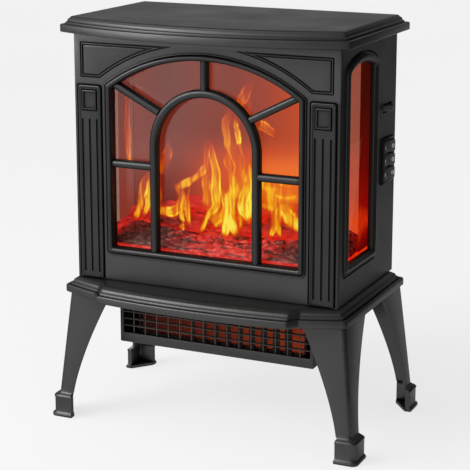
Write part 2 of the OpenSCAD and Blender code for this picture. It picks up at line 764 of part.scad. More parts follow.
// Bundle of wires: heater to terminal block, and terminal block to control board
module wiring_loom() color([0.15, 0.15, 0.15]) place() {
    deck = body_z + 6;
    low = [[loom_x, loom_y, heater_z1 - 14], [loom_x, loom_y, deck], [loom_x, 84, deck], [127.2, 84, deck]];
    high = [[83.8, 84, deck], [66, 84, deck], [66, 93, deck], [66, 93, 340], [53.2, 93, 340]];
    for (path = [low, high], i = [0:len(path) - 2]) wire(path[i], path[i + 1]);
}

// Gland that the mains lead leaves by
module cord_gland() color([0.06, 0.06, 0.065]) place() translate([gland_x, back_y, gland_z])
    rotate([90, 0, 0]) difference() {
        union() {
            translate([0, 0, -7]) cylinder(r1 = 8, r2 = 10.5, h = 7);
            cylinder(r = gland_r, h = 8);
            translate([0, 0, sheet + 0.2]) cylinder(r = 11, h = 4);
        }
        translate([0, 0, -8]) cylinder(r = 3.7, h = 20);
    }

// ---- Fasteners -----------------------------------------------------------

// Pan-head screw pointing down -z from its seat at the origin
module screw(length) {
    translate([0, 0, -length]) cylinder(r = screw_r, h = length + eps, $fn = 32);
    difference() {
        cylinder(r = 3.2, h = 2.2, $fn = 32);
        for (a = [0, 90]) rotate([0, 0, a]) block([-2.2, -0.4, 1], [2.2, 0.4, 3]);
    }
}

module back_screws() color(steel) place() for (p = back_holes())
    translate([p[0], back_y, p[1]]) rotate([-90, 0, 0]) screw(7);
module top_screws() color(steel) place() for (x = [-130, 130], y = [-70, 70])
    translate([x, y, top_plate_z]) rotate([180, 0, 0]) screw(9);
module leg_screws() color(steel) place() for (sx = [-1, 1], sy = [-1, 1], h = leg_holes)
    translate([sx * (pan_half_w - h[0]), sy * (pan_half_d - h[1]), skirt_z - 3.1])
        rotate([180, 0, 0]) screw(7);
module heater_screws() color(steel) place() for (x = [-134, 134], y = [-40, 40])
    translate([x, y, heater_z1 - sheet]) rotate([180, 0, 0]) screw(6);

top_cover();
top_plate();
front_panel();
window_frame();
front_glass();
glass_clips();
left_panel();
right_panel();
left_window_frame();
right_window_frame();
left_glass();
right_glass();
back_panel();
hearth_shelf();
base_pan();
leg_front_left();
leg_front_right();
leg_back_left();
leg_back_right();
foot_pads();
firebox_ceiling();
flame_screen();
flame_film();
ember_bed();
log_left();
log_right();
log_back();
ember_led_board();
flame_led_board();
flame_spindle();
spindle_motor();
spindle_bracket();
heater_housing();
heater_grille();
heating_element();
thermal_cutout();
blower_scroll();
blower_wheel();
blower_motor();
switch_bezel();
switch_bodies();
rocker_flame();
rocker_low_heat();
rocker_high_heat();
dimmer_wheel();
dimmer_body();
control_board();
terminal_block();
wiring_loom();
cord_gland();
back_screws();
top_screws();
leg_screws();
heater_screws();
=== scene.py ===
"""Looks of a free-standing electric fireplace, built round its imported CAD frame.

Lengths in this script are millimetres in the row frame until a mesh is made.
x runs to the right, y to the back and z up; the window faces -y.
"""

from math import asin, atan2, cos, degrees, pi, radians, sin, sqrt, tan

import bmesh
import bpy
import numpy as np
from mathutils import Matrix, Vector, noise
from mathutils.geometry import tessellate_polygon


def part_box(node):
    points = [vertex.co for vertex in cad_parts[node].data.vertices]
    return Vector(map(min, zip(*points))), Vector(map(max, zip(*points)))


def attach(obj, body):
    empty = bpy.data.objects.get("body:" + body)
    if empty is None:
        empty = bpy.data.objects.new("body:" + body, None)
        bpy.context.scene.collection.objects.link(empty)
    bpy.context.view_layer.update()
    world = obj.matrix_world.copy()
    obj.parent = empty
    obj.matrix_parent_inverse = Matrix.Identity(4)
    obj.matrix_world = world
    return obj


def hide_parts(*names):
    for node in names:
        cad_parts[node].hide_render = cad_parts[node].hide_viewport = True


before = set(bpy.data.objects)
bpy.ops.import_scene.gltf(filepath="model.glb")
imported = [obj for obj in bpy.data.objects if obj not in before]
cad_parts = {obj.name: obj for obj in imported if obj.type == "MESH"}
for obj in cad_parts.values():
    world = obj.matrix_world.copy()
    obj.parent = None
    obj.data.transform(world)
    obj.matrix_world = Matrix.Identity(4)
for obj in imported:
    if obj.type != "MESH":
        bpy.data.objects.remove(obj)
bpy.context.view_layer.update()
MM = 0.001


def box_mm(node):
    """Lowest and highest corner of a CAD node, in millimetres."""
    lo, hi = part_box(node)
    return Vector(lo) / MM, Vector(hi) / MM


# ---- Places from the frame --------------------------------------------------

PILASTER_RELIEF = 3.0
PANEL_T = 4.0
cover_lo, cover_hi = box_mm("top_cover")
shelf_lo = box_mm("hearth_shelf")[0]
panel_lo, panel_hi = box_mm("front_panel")
window_lo, window_hi = box_mm("window_frame")
side_lo, side_hi = box_mm("right_window_frame")
wall_lo, wall_hi = box_mm("right_panel")
glass_lo, glass_hi = box_mm("front_glass")
side_glass_lo, side_glass_hi = box_mm("right_glass")
screen_lo, screen_hi = box_mm("flame_screen")
film_lo, film_hi = box_mm("flame_film")
bed_lo, bed_hi = box_mm("ember_bed")
leg_hi = box_mm("leg_back_right")[1]
grille_lo, grille_hi = box_mm("heater_grille")
housing_lo, housing_hi = box_mm("heater_housing")
element_lo, element_hi = box_mm("heating_element")
bezel_lo, bezel_hi = box_mm("switch_bezel")
wheel_lo, wheel_hi = box_mm("dimmer_wheel")

FRONT = panel_lo.y + PILASTER_RELIEF
MID_Y = FRONT + 102
BODY_HALF = panel_hi.x
WALL_X = wall_hi.x
LEDGE_HALF = cover_hi.x
LEDGE_BACK = cover_hi.y
BOW_FRONT = cover_lo.y
BOW_R = 486.0
WIN_HALF = window_hi.x
WIN_R = 232.0
BAR_W = 11.0
ARCH_R = 71.5
ARCH_Z = 380.0
RAIL_Z = 351.5
SIDE_MID = (side_lo.y + side_hi.y) / 2
SIDE_HALF = (side_hi.y - side_lo.y) / 2
SIDE_R = 120.0
SHOULDER_R = 16.0
LEG_T = 3.5
LINER_X = side_glass_lo.x - 0.5
LINER_FRONT = 8.0
SHELF_BOW_R = 936.0
PILASTER_IN = 143.4
PILASTER_OUT = 180.6
PILASTER_TOP = 454.0
FLUTES_X = (151.5, 162.0, 172.5)
FLUTE_HALF = 1.5
FLUTE_FOOT = 204.0
FLUTE_TOP = 408.5
SPANDREL_R = 241.0
SIDES = ((-1, "left"), (1, "right"))


# ---- Node materials ---------------------------------------------------------

class Nodes:
    """Short ways to add nodes to a tree and to join them."""

    def __init__(self, tree, coords):
        self.tree = tree
        self.tree.nodes.clear()
        self.coords = self.node("TexCoord").outputs[coords]

    def node(self, kind, **values):
        made = self.tree.nodes.new("ShaderNode" + kind)
        for key, value in values.items():
            setattr(made, key, value)
        return made

    def link(self, source, target):
        self.tree.links.new(source, target)

    def remap(self, source, from_lo, from_hi, to_lo, to_hi, style="LINEAR"):
        made = self.node("MapRange", interpolation_type=style)
        for key, value in zip(("From Min", "From Max", "To Min", "To Max"), (from_lo, from_hi, to_lo, to_hi)):
            made.inputs[key].default_value = value
        self.link(source, made.inputs["Value"])
        return made.outputs["Result"]

    def math(self, operation, *values):
        """Result of a sum on numbers and sockets."""
        made = self.node("Math", operation=operation)
        for socket, value in zip(made.inputs, values):
            if isinstance(value, (int, float)):
                socket.default_value = value
            else:
                self.link(value, socket)
        return made.outputs[0]


class Paint(Nodes):
    """A material; its nodes read object coordinates, in metres."""

    def __init__(self, name):
        self.mat = bpy.data.materials.new(name)
        self.mat.use_nodes = True
        super().__init__(self.mat.node_tree, "Object")
        self.out = self.node("OutputMaterial")

    def shader(self, **sockets):
        """The main shader, with its constant values."""
        made = self.node("BsdfPrincipled")
        for key, value in sockets.items():
            made.inputs[key.replace("_", " ")].default_value = value
        self.link(made.outputs[0], self.out.inputs["Surface"])
        return made

    def noise(self, scale, detail=3.0, rough=0.55, stretch=None):
        """Noise between 0 and 1; stretch scales it along each axis."""
        made = self.node("TexNoise")
        made.inputs["Scale"].default_value = scale
        made.inputs["Detail"].default_value = detail
        made.inputs["Roughness"].default_value = rough
        vector = self.coords
        if stretch:
            mapping = self.node("Mapping")
            mapping.inputs["Scale"].default_value = stretch
            self.link(vector, mapping.inputs["Vector"])
            vector = mapping.outputs[0]
        self.link(vector, made.inputs["Vector"])
        return made.outputs["Fac"]

    def wobble(self, reach, *noise):
        """Noise that swings from -reach to reach."""
        return self.remap(self.noise(*noise), 0.3, 0.7, -reach, reach)

    def ramp(self, source, stops):
        """Colour that follows a value; stops are (place, colour)."""
        made = self.node("ValToRGB")
        band = made.color_ramp
        while len(band.elements) < len(stops):
            band.elements.new(0.5)
        for element, (place, colour) in zip(band.elements, stops):
            element.position = place
            element.color = (*colour, 1.0)
        self.link(source, made.inputs["Fac"])
        return made.outputs["Color"]

    def bump(self, height, distance, strength, target, below=None):
        """Fine relief for a shader, on top of another relief where one is given."""
        made = self.node("Bump")
        made.inputs["Distance"].default_value = distance
        made.inputs["Strength"].default_value = strength
        self.link(height, made.inputs["Height"])
        if below:
            self.link(below, made.inputs["Normal"])
        if target:
            self.link(made.outputs[0], target.inputs["Normal"])
        return made.outputs[0]

    def mix(self, share, first, second):
        """Blend of two colours."""
        made = self.node("Mix", data_type="RGBA")
        for socket, value in ((made.inputs["Factor"], share), (made.inputs[6], first),
                              (made.inputs[7], second)):
            self.link(value, socket)
        return made.outputs[2]

    def layer(self, share, below, above):
        """Surface made of two shaders."""
        made = self.node("MixShader")
        for socket, value in zip(made.inputs, (share, below.outputs[0], above.outputs[0])):
            self.link(value, socket)
        self.link(made.outputs[0], self.out.inputs["Surface"])

    def facing(self):
        """0 where the surface faces the eye, 1 at its rim; for gloss only."""
        made = self.node("LayerWeight")
        made.inputs["Blend"].default_value = 0.5
        return made.outputs["Facing"]

    def burn(self):
        """The value that a picture sheet carries."""
        return self.node("Attribute", attribute_name="burn").outputs["Fac"]

    def axis(self, name):
        made = self.node("SeparateXYZ")
        self.link(self.coords, made.inputs[0])
        return made.outputs[name]


def powder_coat(name, dark, light, rough=(0.42, 0.6), grain=620.0, level=0.5, relief=0.00025, painted_column_shade=1.0):
    """Black textured coat: fine grain and cloudy gloss; the grain dulls the sheen at a low angle.
    Grooves get painted shade, an occlusion node darkening their colour and sheen. The last argument scales
    colour and sheen on the fluted ends of the front, as painted shade."""
    paint = Paint(name)
    face = paint.shader()
    # Painted shade: the occlusion node darkens colour and sheen in grooves and crevices.
    painted_crevice_shade = paint.node("AmbientOcclusion", samples=6)
    painted_crevice_shade.inputs["Distance"].default_value = 0.005
    shade = paint.remap(painted_crevice_shade.outputs["AO"], 0.4, 0.92, 0.12, 1.0)
    # Painted shade: colour and sheen are made darker on the fluted ends of the front.
    if painted_column_shade < 1.0:
        across = paint.remap(paint.math("ABSOLUTE", paint.axis("X")), 0.142, 0.147, 0.0, 1.0)
        under = paint.remap(paint.axis("Z"), 0.452, 0.456, 1.0, 0.0)
        fluted = paint.remap(paint.math("MULTIPLY", across, under), 0.0, 1.0, 1.0, painted_column_shade)
        shade = paint.math("MULTIPLY", shade, fluted)
    sheen = paint.remap(paint.facing(), 0.18, 0.55, level, level * 0.14)
    paint.link(paint.math("MULTIPLY", sheen, shade), face.inputs["Specular IOR Level"])
    cloud = paint.noise(16.0, 4.0)
    speck = paint.noise(grain, 2.0)
    mixed = paint.math("ADD", paint.math("MULTIPLY", cloud, 0.6), paint.math("MULTIPLY", speck, 0.4))
    shaded = paint.math("MULTIPLY", mixed, shade)
    paint.link(paint.ramp(shaded, [(0.0, (0.0, 0.0, 0.0)), (0.3, dark), (0.7, light)]),
               face.inputs["Base Color"])
    paint.link(paint.remap(cloud, 0.3, 0.7, *rough), face.inputs["Roughness"])
    coarse = paint.bump(paint.noise(grain * 0.4, 2.0), relief * 2, 0.25, None)
    paint.bump(speck, relief, 0.5, face, coarse)
    return paint.mat


def finish(name, dark, light, rough=(0.3, 0.5), metallic=0.0, scale=60.0, stretch=(1, 1, 1)):
    """General surface: two tones, uneven gloss and a fine relief."""
    paint = Paint(name)
    face = paint.shader(Metallic=metallic, Coat_Roughness=0.15)
    grain = paint.noise(scale, 4.0, 0.6, stretch)
    broad = paint.noise(12.0, 3.0)
    paint.link(paint.ramp(grain, [(0.3, dark), (0.7, light)]), face.inputs["Base Color"])
    paint.link(paint.remap(broad, 0.3, 0.7, *rough), face.inputs["Roughness"])
    paint.bump(grain, 0.0001, 0.5, face)
    return paint.mat


def pane(name, tint, straight, rise, shaded_reflection=False):
    """Tinted glass that mirrors a little of the room: straight is the share at a right angle,
    rise what a low angle adds.

    With the last argument set, the mirror image gets painted shade: it is painted dimmer towards the pane's
    foot and its right side, with a little random unevenness."""
    paint = Paint(name)
    see = paint.node("BsdfTransparent")
    see.inputs["Color"].default_value = (*tint, 1.0)
    gloss = paint.node("BsdfGlossy")
    gloss.inputs["Roughness"].default_value = 0.03
    if shaded_reflection:
        # Painted shade on the mirror image: dimmer towards the foot and the right side.
        upper = paint.remap(paint.axis("Z"), 0.285, 0.37, 0.06, 1.0)
        across = paint.math("ADD", paint.axis("X"), paint.math("MULTIPLY", paint.axis("Z"), -0.5))
        shade = paint.math("MULTIPLY", paint.remap(across, -0.28, -0.1, 1.0, 0.15), upper)
        smear = paint.remap(paint.noise(14.0, 3.0, 0.5, (1, 1, 0.35)), 0.3, 0.7, 0.86, 1.06)
        tone = paint.node("CombineColor")
        for socket in tone.inputs:
            paint.link(paint.math("MULTIPLY", shade, smear), socket)
        paint.link(tone.outputs[0], gloss.inputs["Color"])
    rising = paint.math("POWER", paint.facing(), 5.0)
    paint.layer(paint.remap(rising, 0.0, 1.0, straight, straight + rise), see, gloss)
    return paint.mat


cast_black = powder_coat("cast_black", (0.009, 0.009, 0.0088), (0.016, 0.016, 0.0155), (0.3, 0.4), level=0.6)
sheet_black = powder_coat("sheet_black", (0.010, 0.010, 0.0102), (0.016, 0.016, 0.0165), (0.36, 0.46), 900.0,
                          0.55)
housing_black = powder_coat("housing_black", (0.008, 0.008, 0.008), (0.013, 0.013, 0.013), (0.36, 0.5), 900.0)
# Painted shade: the bezel coat is made darker to stand for the shade between the rockers.
switch_black = powder_coat("switch_black", (0.004, 0.004, 0.004), (0.007, 0.007, 0.007), (0.3, 0.42), 1400.0,
                           0.25,
                           0.00008)
flat_black = powder_coat("flat_black", (0.006, 0.005, 0.005), (0.012, 0.010, 0.010), (0.7, 0.85), 500.0)
# Painted shade darkens colour and sheen on the fluted ends of this coat.
front_black = powder_coat("front_black", (0.009, 0.009, 0.0088), (0.016, 0.016, 0.0155), (0.3, 0.4),
                          level=0.64,
                          painted_column_shade=0.62)
# Painted shade: a darker, less glossy copy of the cast coat for the front window's bead and bars.
shaded_bar_black = powder_coat("shaded_bar_black", (0.006, 0.006, 0.006), (0.010, 0.010, 0.010), (0.26, 0.36), level=0.42)
zinc = finish("zinc", (0.46, 0.47, 0.48), (0.62, 0.63, 0.64), (0.3, 0.5), 1.0, 90.0, (1, 6, 1))
motor_steel = finish("motor_steel", (0.38, 0.38, 0.37), (0.55, 0.54, 0.52), (0.25, 0.45), 1.0, 160.0,
                     (1, 1, 5))
alloy = finish("alloy", (0.58, 0.59, 0.6), (0.74, 0.75, 0.76), (0.25, 0.4), 1.0, 200.0, (4, 1, 1))
foil = finish("foil", (0.75, 0.75, 0.77), (0.9, 0.9, 0.92), (0.06, 0.16), 1.0, 300.0)
rubber = finish("rubber", (0.010, 0.010, 0.010), (0.022, 0.022, 0.022), (0.7, 0.85), 0.0, 500.0)
board = finish("board", (0.02, 0.13, 0.05), (0.04, 0.2, 0.08), (0.25, 0.4), 0.0, 240.0, (1, 1, 4))
cream = finish("cream", (0.62, 0.58, 0.48), (0.72, 0.68, 0.58), (0.35, 0.5), 0.0, 300.0)
blue = finish("blue", (0.03, 0.08, 0.25), (0.05, 0.12, 0.33), (0.3, 0.42), 0.0, 300.0)
sleeve = finish("sleeve", (0.012, 0.012, 0.012), (0.03, 0.03, 0.03), (0.45, 0.6), 0.0, 400.0, (1, 1, 0.2))
front_pane = pane("front_pane", (0.95, 0.92, 0.90), 0.045, 0.9, True)
side_pane = pane("side_pane", (0.62, 0.45, 0.42), 0.012, 0.06)


# ---- Shapes -----------------------------------------------------------------

def arc(cx, cy, r, start, end, steps):
    """Points of an arc from start to end, in degrees."""
    turns = [radians(start + (end - start) * i / steps) for i in range(steps + 1)]
    return [(cx + r * cos(t), cy + r * sin(t)) for t in turns]


def rounded(points, radii, steps=5):
    """A closed outline with some corners turned into arcs; radii names corner index and radius."""
    out = []
    count = len(points)
    for i, point in enumerate(points):
        r = radii.get(i, 0.0)
        if r <= 0:
            out.append(point)
            continue
        here = Vector(point)
        to_last = (Vector(points[i - 1]) - here).normalized()
        to_next = (Vector(points[(i + 1) % count]) - here).normalized()
        half = to_last.angle(to_next) / 2
        reach = r / tan(half)
        middle = here + (to_last + to_next).normalized() * (r / sin(half))
        start = here + to_last * reach - middle
        end = here + to_next * reach - middle
        sweep = start.angle_signed(end)
        for k in range(steps + 1):
            turn = -sweep * k / steps
            c, s = cos(turn), sin(turn)
            out.append((middle.x + start.x * c - start.y * s, middle.y + start.x * s + start.y * c))
    return out


def ledge_outline(inset, r=5.5):
    """Plan of the cover, moved in by inset: straight back and sides, bowed front."""
    half = LEDGE_HALF - inset
    back = LEDGE_BACK - inset
    cy = BOW_FRONT + BOW_R
    radius = BOW_R - inset
    reach = degrees(asin(half / radius))
    front = arc(0, cy, radius, -90 - reach, -90 + reach, 44)
    points = [(half, back), (-half, back)] + front
    corner = max(r - inset * 0.3, 1.2)
    return rounded(points, {0: corner, 1: corner, 2: corner, len(points) - 1: corner})


def shelf_outline(inset, r=5.5):
    """Plan of the hearth shelf: the cover's plan with a flatter middle between two notches."""
    half = LEDGE_HALF - inset
    back = LEDGE_BACK - inset
    cy = BOW_FRONT + BOW_R
    radius = BOW_R - inset
    mid_radius = SHELF_BOW_R - inset
    mid_cy = BOW_FRONT + SHELF_BOW_R

    def on_circle(x, centre, rad):
        return centre - sqrt(rad * rad - x * x)

    def meets(centre, rad):
        low, high = 0.0, 1.0
        for _ in range(40):
            t = (low + high) / 2
            x = 155.8 - inset - 35 * t
            if MID_Y - 118 - 40 * t > on_circle(x, centre, rad):
                low = t
            else:
                high = t
        return x, on_circle(x, centre, rad)

    inner = meets(cy, radius)
    outer = meets(mid_cy, mid_radius)
    ear_xs = [half + (inner[0] - half) * i / 8 for i in range(9)]
    mid_xs = [outer[0] * (1 - i / 14) for i in range(29)]
    right = [(x, on_circle(x, cy, radius)) for x in ear_xs[:-1]] + [inner]
    middle = [(x, on_circle(x, mid_cy, mid_radius)) for x in mid_xs]
    left = [(-x, y) for x, y in reversed(right)]
    points = [(-half, back), (half, back)] + right + middle + left
    corner = max(r - inset * 0.3, 1.2)
    n = len(points)
    radii = {0: corner, 1: corner, 2: corner, n - 1: corner}
    first = 2 + len(right) - 1
    for notch in (first, first + 1, n - len(right) - 1, n - len(right)):
        radii[notch] = 4.0
    return rounded(points, radii)


def window_outline(inset):
    """Front window: square foot with rounded corners and a shallow arch."""
    half = WIN_HALF - inset
    radius = WIN_R - inset
    cz = window_hi.z - WIN_R
    reach = degrees(asin(half / radius))
    top = arc(0, cz, radius, 90 - reach, 90 + reach, 48)
    points = [(-half, window_lo.z + inset), (half, window_lo.z + inset)] + top
    foot = max(6.0 - inset * 0.4, 1.0)
    head = max(3.0 - inset * 0.2, 0.8)
    return rounded(points, {0: foot, 1: foot, 2: head, len(points) - 1: head})


def side_outline(inset):
    """Side window in (y, z): an arch with rounded shoulders and rounded lower corners."""
    half = SIDE_HALF - inset
    cz = side_hi.z - SIDE_R
    if side_hi.z - side_lo.z < 272:
        cz = side_lo.z + 272 - SIDE_R
    reach = SIDE_HALF - SHOULDER_R
    rise = sqrt((SIDE_R - SHOULDER_R) ** 2 - reach**2)
    tilt = degrees(atan2(rise, reach))
    small = SHOULDER_R - inset
    right = arc(SIDE_MID + reach, cz + rise, small, 0, tilt, 7)
    top = arc(SIDE_MID, cz, SIDE_R - inset, tilt, 180 - tilt, 20)[1:-1]
    left = arc(SIDE_MID - reach, cz + rise, small, 180 - tilt, 180, 7)
    points = [(SIDE_MID - half, side_lo.z + inset), (SIDE_MID + half, side_lo.z + inset)] + right + top + left
    foot = max(6.0 - inset * 0.4, 1.0)
    return rounded(points, {0: foot, 1: foot})


def spandrel_outline(inset, side):
    """Corner ornament between the arch and the front panel's corner; side is 1 or -1."""
    cz = window_hi.z - WIN_R
    radius = SPANDREL_R + inset
    right, bottom, top = 175.0 - inset, 462.0 + inset, 508.0 - inset

    def angle_at(z):
        return degrees(asin((z - cz) / radius))

    tip = angle_at(top)
    foot = angle_at(bottom)
    curve = arc(0, cz, radius, tip, foot, 24)
    points = curve + [(right, bottom), (right, top)]
    n = len(points)
    made = rounded(points, {0: 0.35, n - 3: 1.2, n - 2: 1.2, n - 1: 1.2})
    return [(side * x, z) for x, z in made]


def box_outline(x0, x1, z0, z1, r, steps=5):
    return rounded([(x0, z0), (x1, z0), (x1, z1), (x0, z1)], {i: r for i in range(4)}, steps)


def pill(x, half, z0, z1):
    """Outline of a groove with round ends."""
    return arc(x, z1 - half, half, 0, 180, 8) + arc(x, z0 + half, half, 180, 360, 8)


def on_front(outline, depth):
    """Places an (x, z) outline on the front panel; depth is measured inwards."""
    return [(x, FRONT + depth, z) for x, z in outline]


def on_wall(outline, depth, side):
    """Places a (y, z) outline on a side wall; side is 1 for the right wall, depth goes inwards."""
    return [(side * (WALL_X - depth), y, z) for y, z in outline]


def flat(outline, z):
    return [(x, y, z) for x, y in outline]


class Shape:
    """Collects faces in millimetres and turns them into one piece."""

    def __init__(self):
        self.verts = []
        self.faces = []

    def add(self, verts, faces):
        start = len(self.verts)
        self.verts += [tuple(v) for v in verts]
        self.faces += [tuple(start + i for i in f) for f in faces]

    def loft(self, rings, closed=True, first=False, last=False):
        """Skin through rings of the same length, with caps where asked."""
        n = len(rings[0])
        verts = [v for ring in rings for v in ring]
        faces = []
        for i in range(len(rings) - 1):
            for j in range(n if closed else n - 1):
                a, b = i * n + j, i * n + (j + 1) % n
                faces.append((a, b, b + n, a + n))
        if first:
            faces.append(tuple(range(n - 1, -1, -1)))
        if last:
            faces.append(tuple((len(rings) - 1) * n + j for j in range(n)))
        self.add(verts, faces)

    def fill(self, *loops):
        """Flat face inside the first loop and outside the others."""
        verts = [Vector(v) for loop in loops for v in loop]
        made = tessellate_polygon([[Vector(v) for v in loop] for loop in loops])
        self.add(verts, [tuple(f) for f in made])

    def block(self, lo, hi):
        x0, y0, z0 = lo
        x1, y1, z1 = hi
        ring = [(x0, y0), (x1, y0), (x1, y1), (x0, y1)]
        self.loft([flat(ring, z0), flat(ring, z1)], first=True, last=True)

    def rod(self, path, section, plane):
        """Sweeps a section of (across, out) points along a path of 2D points; plane turns
        (u, v, out) into a point. Ends are capped."""
        rings = []
        count = len(path)
        for i, (u, v) in enumerate(path):
            back = Vector((u - path[i - 1][0], v - path[i - 1][1])) if i else None
            ahead = Vector((path[i + 1][0] - u, path[i + 1][1] - v)) if i < count - 1 else None
            back = (back or ahead).normalized()
            ahead = (ahead or back).normalized()
            along = (back + ahead).normalized()
            side = Vector((-along.y, along.x)) / max(along.dot(back), 0.3)
            rings.append([plane(u + side.x * s, v + side.y * s, o) for s, o in section])
        self.loft(rings, first=True, last=True)

    def turned(self, profile, axis_point, axis, steps=32):
        """Lathe: profile of (radius, along) points about an axis "x", "y" or "z"."""
        rings = []
        for r, along in profile:
            ring = []
            for k in range(steps):
                t = 2 * pi * k / steps
                c, s = r * cos(t), r * sin(t)
                offset = {"x": (along, c, s), "y": (c, along, s), "z": (c, s, along)}[axis]
                ring.append(tuple(a + b for a, b in zip(axis_point, offset)))
            rings.append(ring)
        self.loft(rings, first=True, last=True)

    def piece(self, name, material, replaces=None, body="stove", sharp=38, bevel=0.0):
        """The finished object: riding on a body and standing for a CAD node where one is named."""
        mesh = bpy.data.meshes.new(name)
        mesh.from_pydata([tuple(c * MM for c in v) for v in self.verts], [], self.faces)
        mesh.validate()
        clean = bmesh.new()
        clean.from_mesh(mesh)
        bmesh.ops.remove_doubles(clean, verts=clean.verts, dist=0.00001)
        bmesh.ops.recalc_face_normals(clean, faces=clean.faces)
        clean.to_mesh(mesh)
        clean.free()
        mesh.shade_smooth()
        obj = place_mesh(mesh, material, replaces, body)
        if bevel:
            soft = obj.modifiers.new("bevel", "BEVEL")
            soft.width = bevel * MM
            soft.segments = 2
            soft.limit_method = "ANGLE"
            soft.angle_limit = radians(30)
            soft.harden_normals = True
        mesh.set_sharp_from_angle(angle=radians(sharp))


def link_object(name, data):
    obj = bpy.data.objects.new(name, data)
    bpy.context.scene.collection.objects.link(obj)
    return obj


def place_mesh(mesh, material, replaces, body):
    """Puts a mesh in the scene on its body, with its finish and the CAD node that it replaces."""
    mesh.materials.append(material)
    obj = link_object(mesh.name, mesh)
    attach(obj, body)
    if replaces:
        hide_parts(replaces)
    return obj


# ---- Camera, light and floor ------------------------------------------------

# Direction, brightness and reach in degrees of each soft box on the studio's dome
SOFT_BOXES = [((-0.8, -0.65, 0.45), 1.9, 62), ((-0.25, 0.9, 0.45), 0.35, 60), ((0.75, -0.6, 0.75), 0.7, 50)]
AMBIENT = 0.22
FLOOR_GLOW = 0.72
FLOOR_HALF = 30.0


def make_camera():
    """Long lens from the right front, a little above the cover."""
    data = bpy.data.cameras.new("camera")
    data.lens = 120.83
    data.sensor_width = 36.0
    data.shift_x = -0.0484
    data.shift_y = -0.0907
    data.clip_end = 100.0
    camera = link_object("camera", data)
    camera.location = (0.8509, -1.8328, 0.7741)
    camera.rotation_euler = (radians(90 - 12.99), radians(-0.19), radians(24.0))
    bpy.context.scene.camera = camera


def make_lamp(name, kind, toward, power):
    """A lamp whose light comes from the direction toward."""
    data = bpy.data.lights.new(name, kind)
    data.energy = power
    lamp = link_object(name, data)
    lamp.rotation_euler = Vector(toward).to_track_quat("Z", "Y").to_euler()
    return lamp


def make_sheet(name, corners, rough, glow, tones, scale):
    """A flat matt sheet of the stage."""
    mesh = bpy.data.meshes.new(name)
    mesh.from_pydata(corners, [], [(0, 1, 2, 3)])
    paint = Paint(name)
    face = paint.shader(Roughness=rough, Specular_IOR_Level=0.0, Emission_Strength=glow,
                        Emission_Color=(1, 1, 1, 1))
    stops = [(place, (tone, tone, tone)) for place, tone in zip((0.3, 0.7), tones)]
    paint.link(paint.ramp(paint.noise(scale, 2.0), stops), face.inputs["Base Color"])
    mesh.materials.append(paint.mat)
    sheet = link_object(name, mesh)
    return sheet


def make_sky():
    """Studio dome: broad soft boxes, dim elsewhere."""
    world = bpy.data.worlds.new("room")
    bpy.context.scene.world = world
    world.use_nodes = True
    sky = Nodes(world.node_tree, "Generated")
    lobes = []
    for direction, power, reach in SOFT_BOXES:
        toward = sky.node("VectorMath", operation="DOT_PRODUCT")
        toward.inputs[1].default_value = Vector(direction).normalized()
        sky.link(sky.coords, toward.inputs[0])
        dim, full = cos(radians(reach)), cos(radians(reach * 0.35))
        lobes.append(sky.remap(toward.outputs["Value"], dim, full, 0.0, power, "SMOOTHSTEP"))
    total = lobes[0]
    for extra in lobes[1:] + [AMBIENT]:
        total = sky.math("ADD", total, extra)
    light = sky.node("Background")
    sky.link(total, light.inputs["Strength"])
    sky.link(light.outputs[0], sky.node("OutputWorld").inputs["Surface"])


def make_stage():
    """Pale floor, a broad key light, a soft box at the left and a dark card at the right.

    Only mirror images show the card, as on a studio table."""
    make_sky()
    half = FLOOR_HALF
    corners = [(-half, -half, 0), (half, -half, 0), (half, half, 0), (-half, half, 0)]
    make_sheet("floor", corners, 1.0, FLOOR_GLOW, (0.19, 0.2), 0.6)
    key = make_lamp("key", "SUN", (-0.5, -0.75, 0.7), 0.7)
    key.data.angle = radians(24)
    box = make_lamp("left_box", "AREA", (-1.1, -1.0, 0.55), 13)
    box.location = (-1.1, -1.0, 0.95)
    box.data.size = 0.9
    upright = [(0.5, -0.75, 0), (0.62, 1.7, 0), (0.62, 1.7, 1.3), (0.5, -0.75, 1.3)]
    card = make_sheet("flag", upright, 0.9, 0.0, (0.02, 0.03), 3.0)
    card.visible_camera = False
    card.visible_diffuse = False
    card.visible_shadow = False
    card.visible_transmission = False


bpy.context.scene.view_settings.view_transform = "Standard"
make_camera()
make_stage()


# ---- Cover and hearth shelf -------------------------------------------------

# Edges as (inset, height above the underside), from the foot of the rim up
COVER_EDGE = [(0.8, 0.0), (0.1, 0.7), (0.0, 2.0), (0.0, 8.4), (0.4, 9.4), (1.3, 9.9), (4.2, 10.1), (4.7, 9.7),
              (5.0, 9.0), (5.6, 9.0), (5.8, 9.8), (5.9, 11.4), (6.3, 12.4), (6.9, 12.7), (7.7, 13.2),
              (8.3, 14.0), (8.7, 15.0), (8.9, 16.0), (9.2, 16.6), (9.5, 16.5), (9.9, 16.2), (10.4, 16.6),
              (11.0, 17.3), (11.7, 18.4), (12.4, 19.2), (13.4, 19.7), (15.0, 19.95), (17.0, 20.0)]
SHELF_EDGE = [(0.8, 0.0), (0.1, 0.7), (0.0, 2.0), (0.0, 8.2), (0.4, 9.3), (1.2, 9.9), (3.4, 10.1), (3.9, 9.6),
              (4.2, 8.8), (4.8, 8.8), (5.0, 9.6), (5.2, 10.8), (5.8, 11.9), (7.0, 12.9), (8.4, 13.6),
              (8.9, 14.4), (9.2, 15.6), (9.9, 16.6), (11.2, 17.3), (12.6, 18.2), (14.0, 19.2), (16.0, 19.9),
              (19.0, 20.25), (22.0, 20.3)]


def build_slab(name, node, outline, edge, z0, lip, hollow, depth):
    """A moulded slab with a recess in its underside."""
    shape = Shape()
    shape.loft([flat(outline(inset), z0 + up) for inset, up in edge], last=True)
    shape.loft([flat(outline(0.8), z0), flat(outline(3.0), z0 + 0.2), flat(outline(lip), z0 + 0.2)])
    shape.fill(flat(outline(lip), z0 + 0.2), flat(hollow, z0 + 0.2))
    shape.loft([flat(hollow, z0 + 0.2), flat(hollow, z0 + depth)], last=True)
    shape.piece(name, cast_black, node)


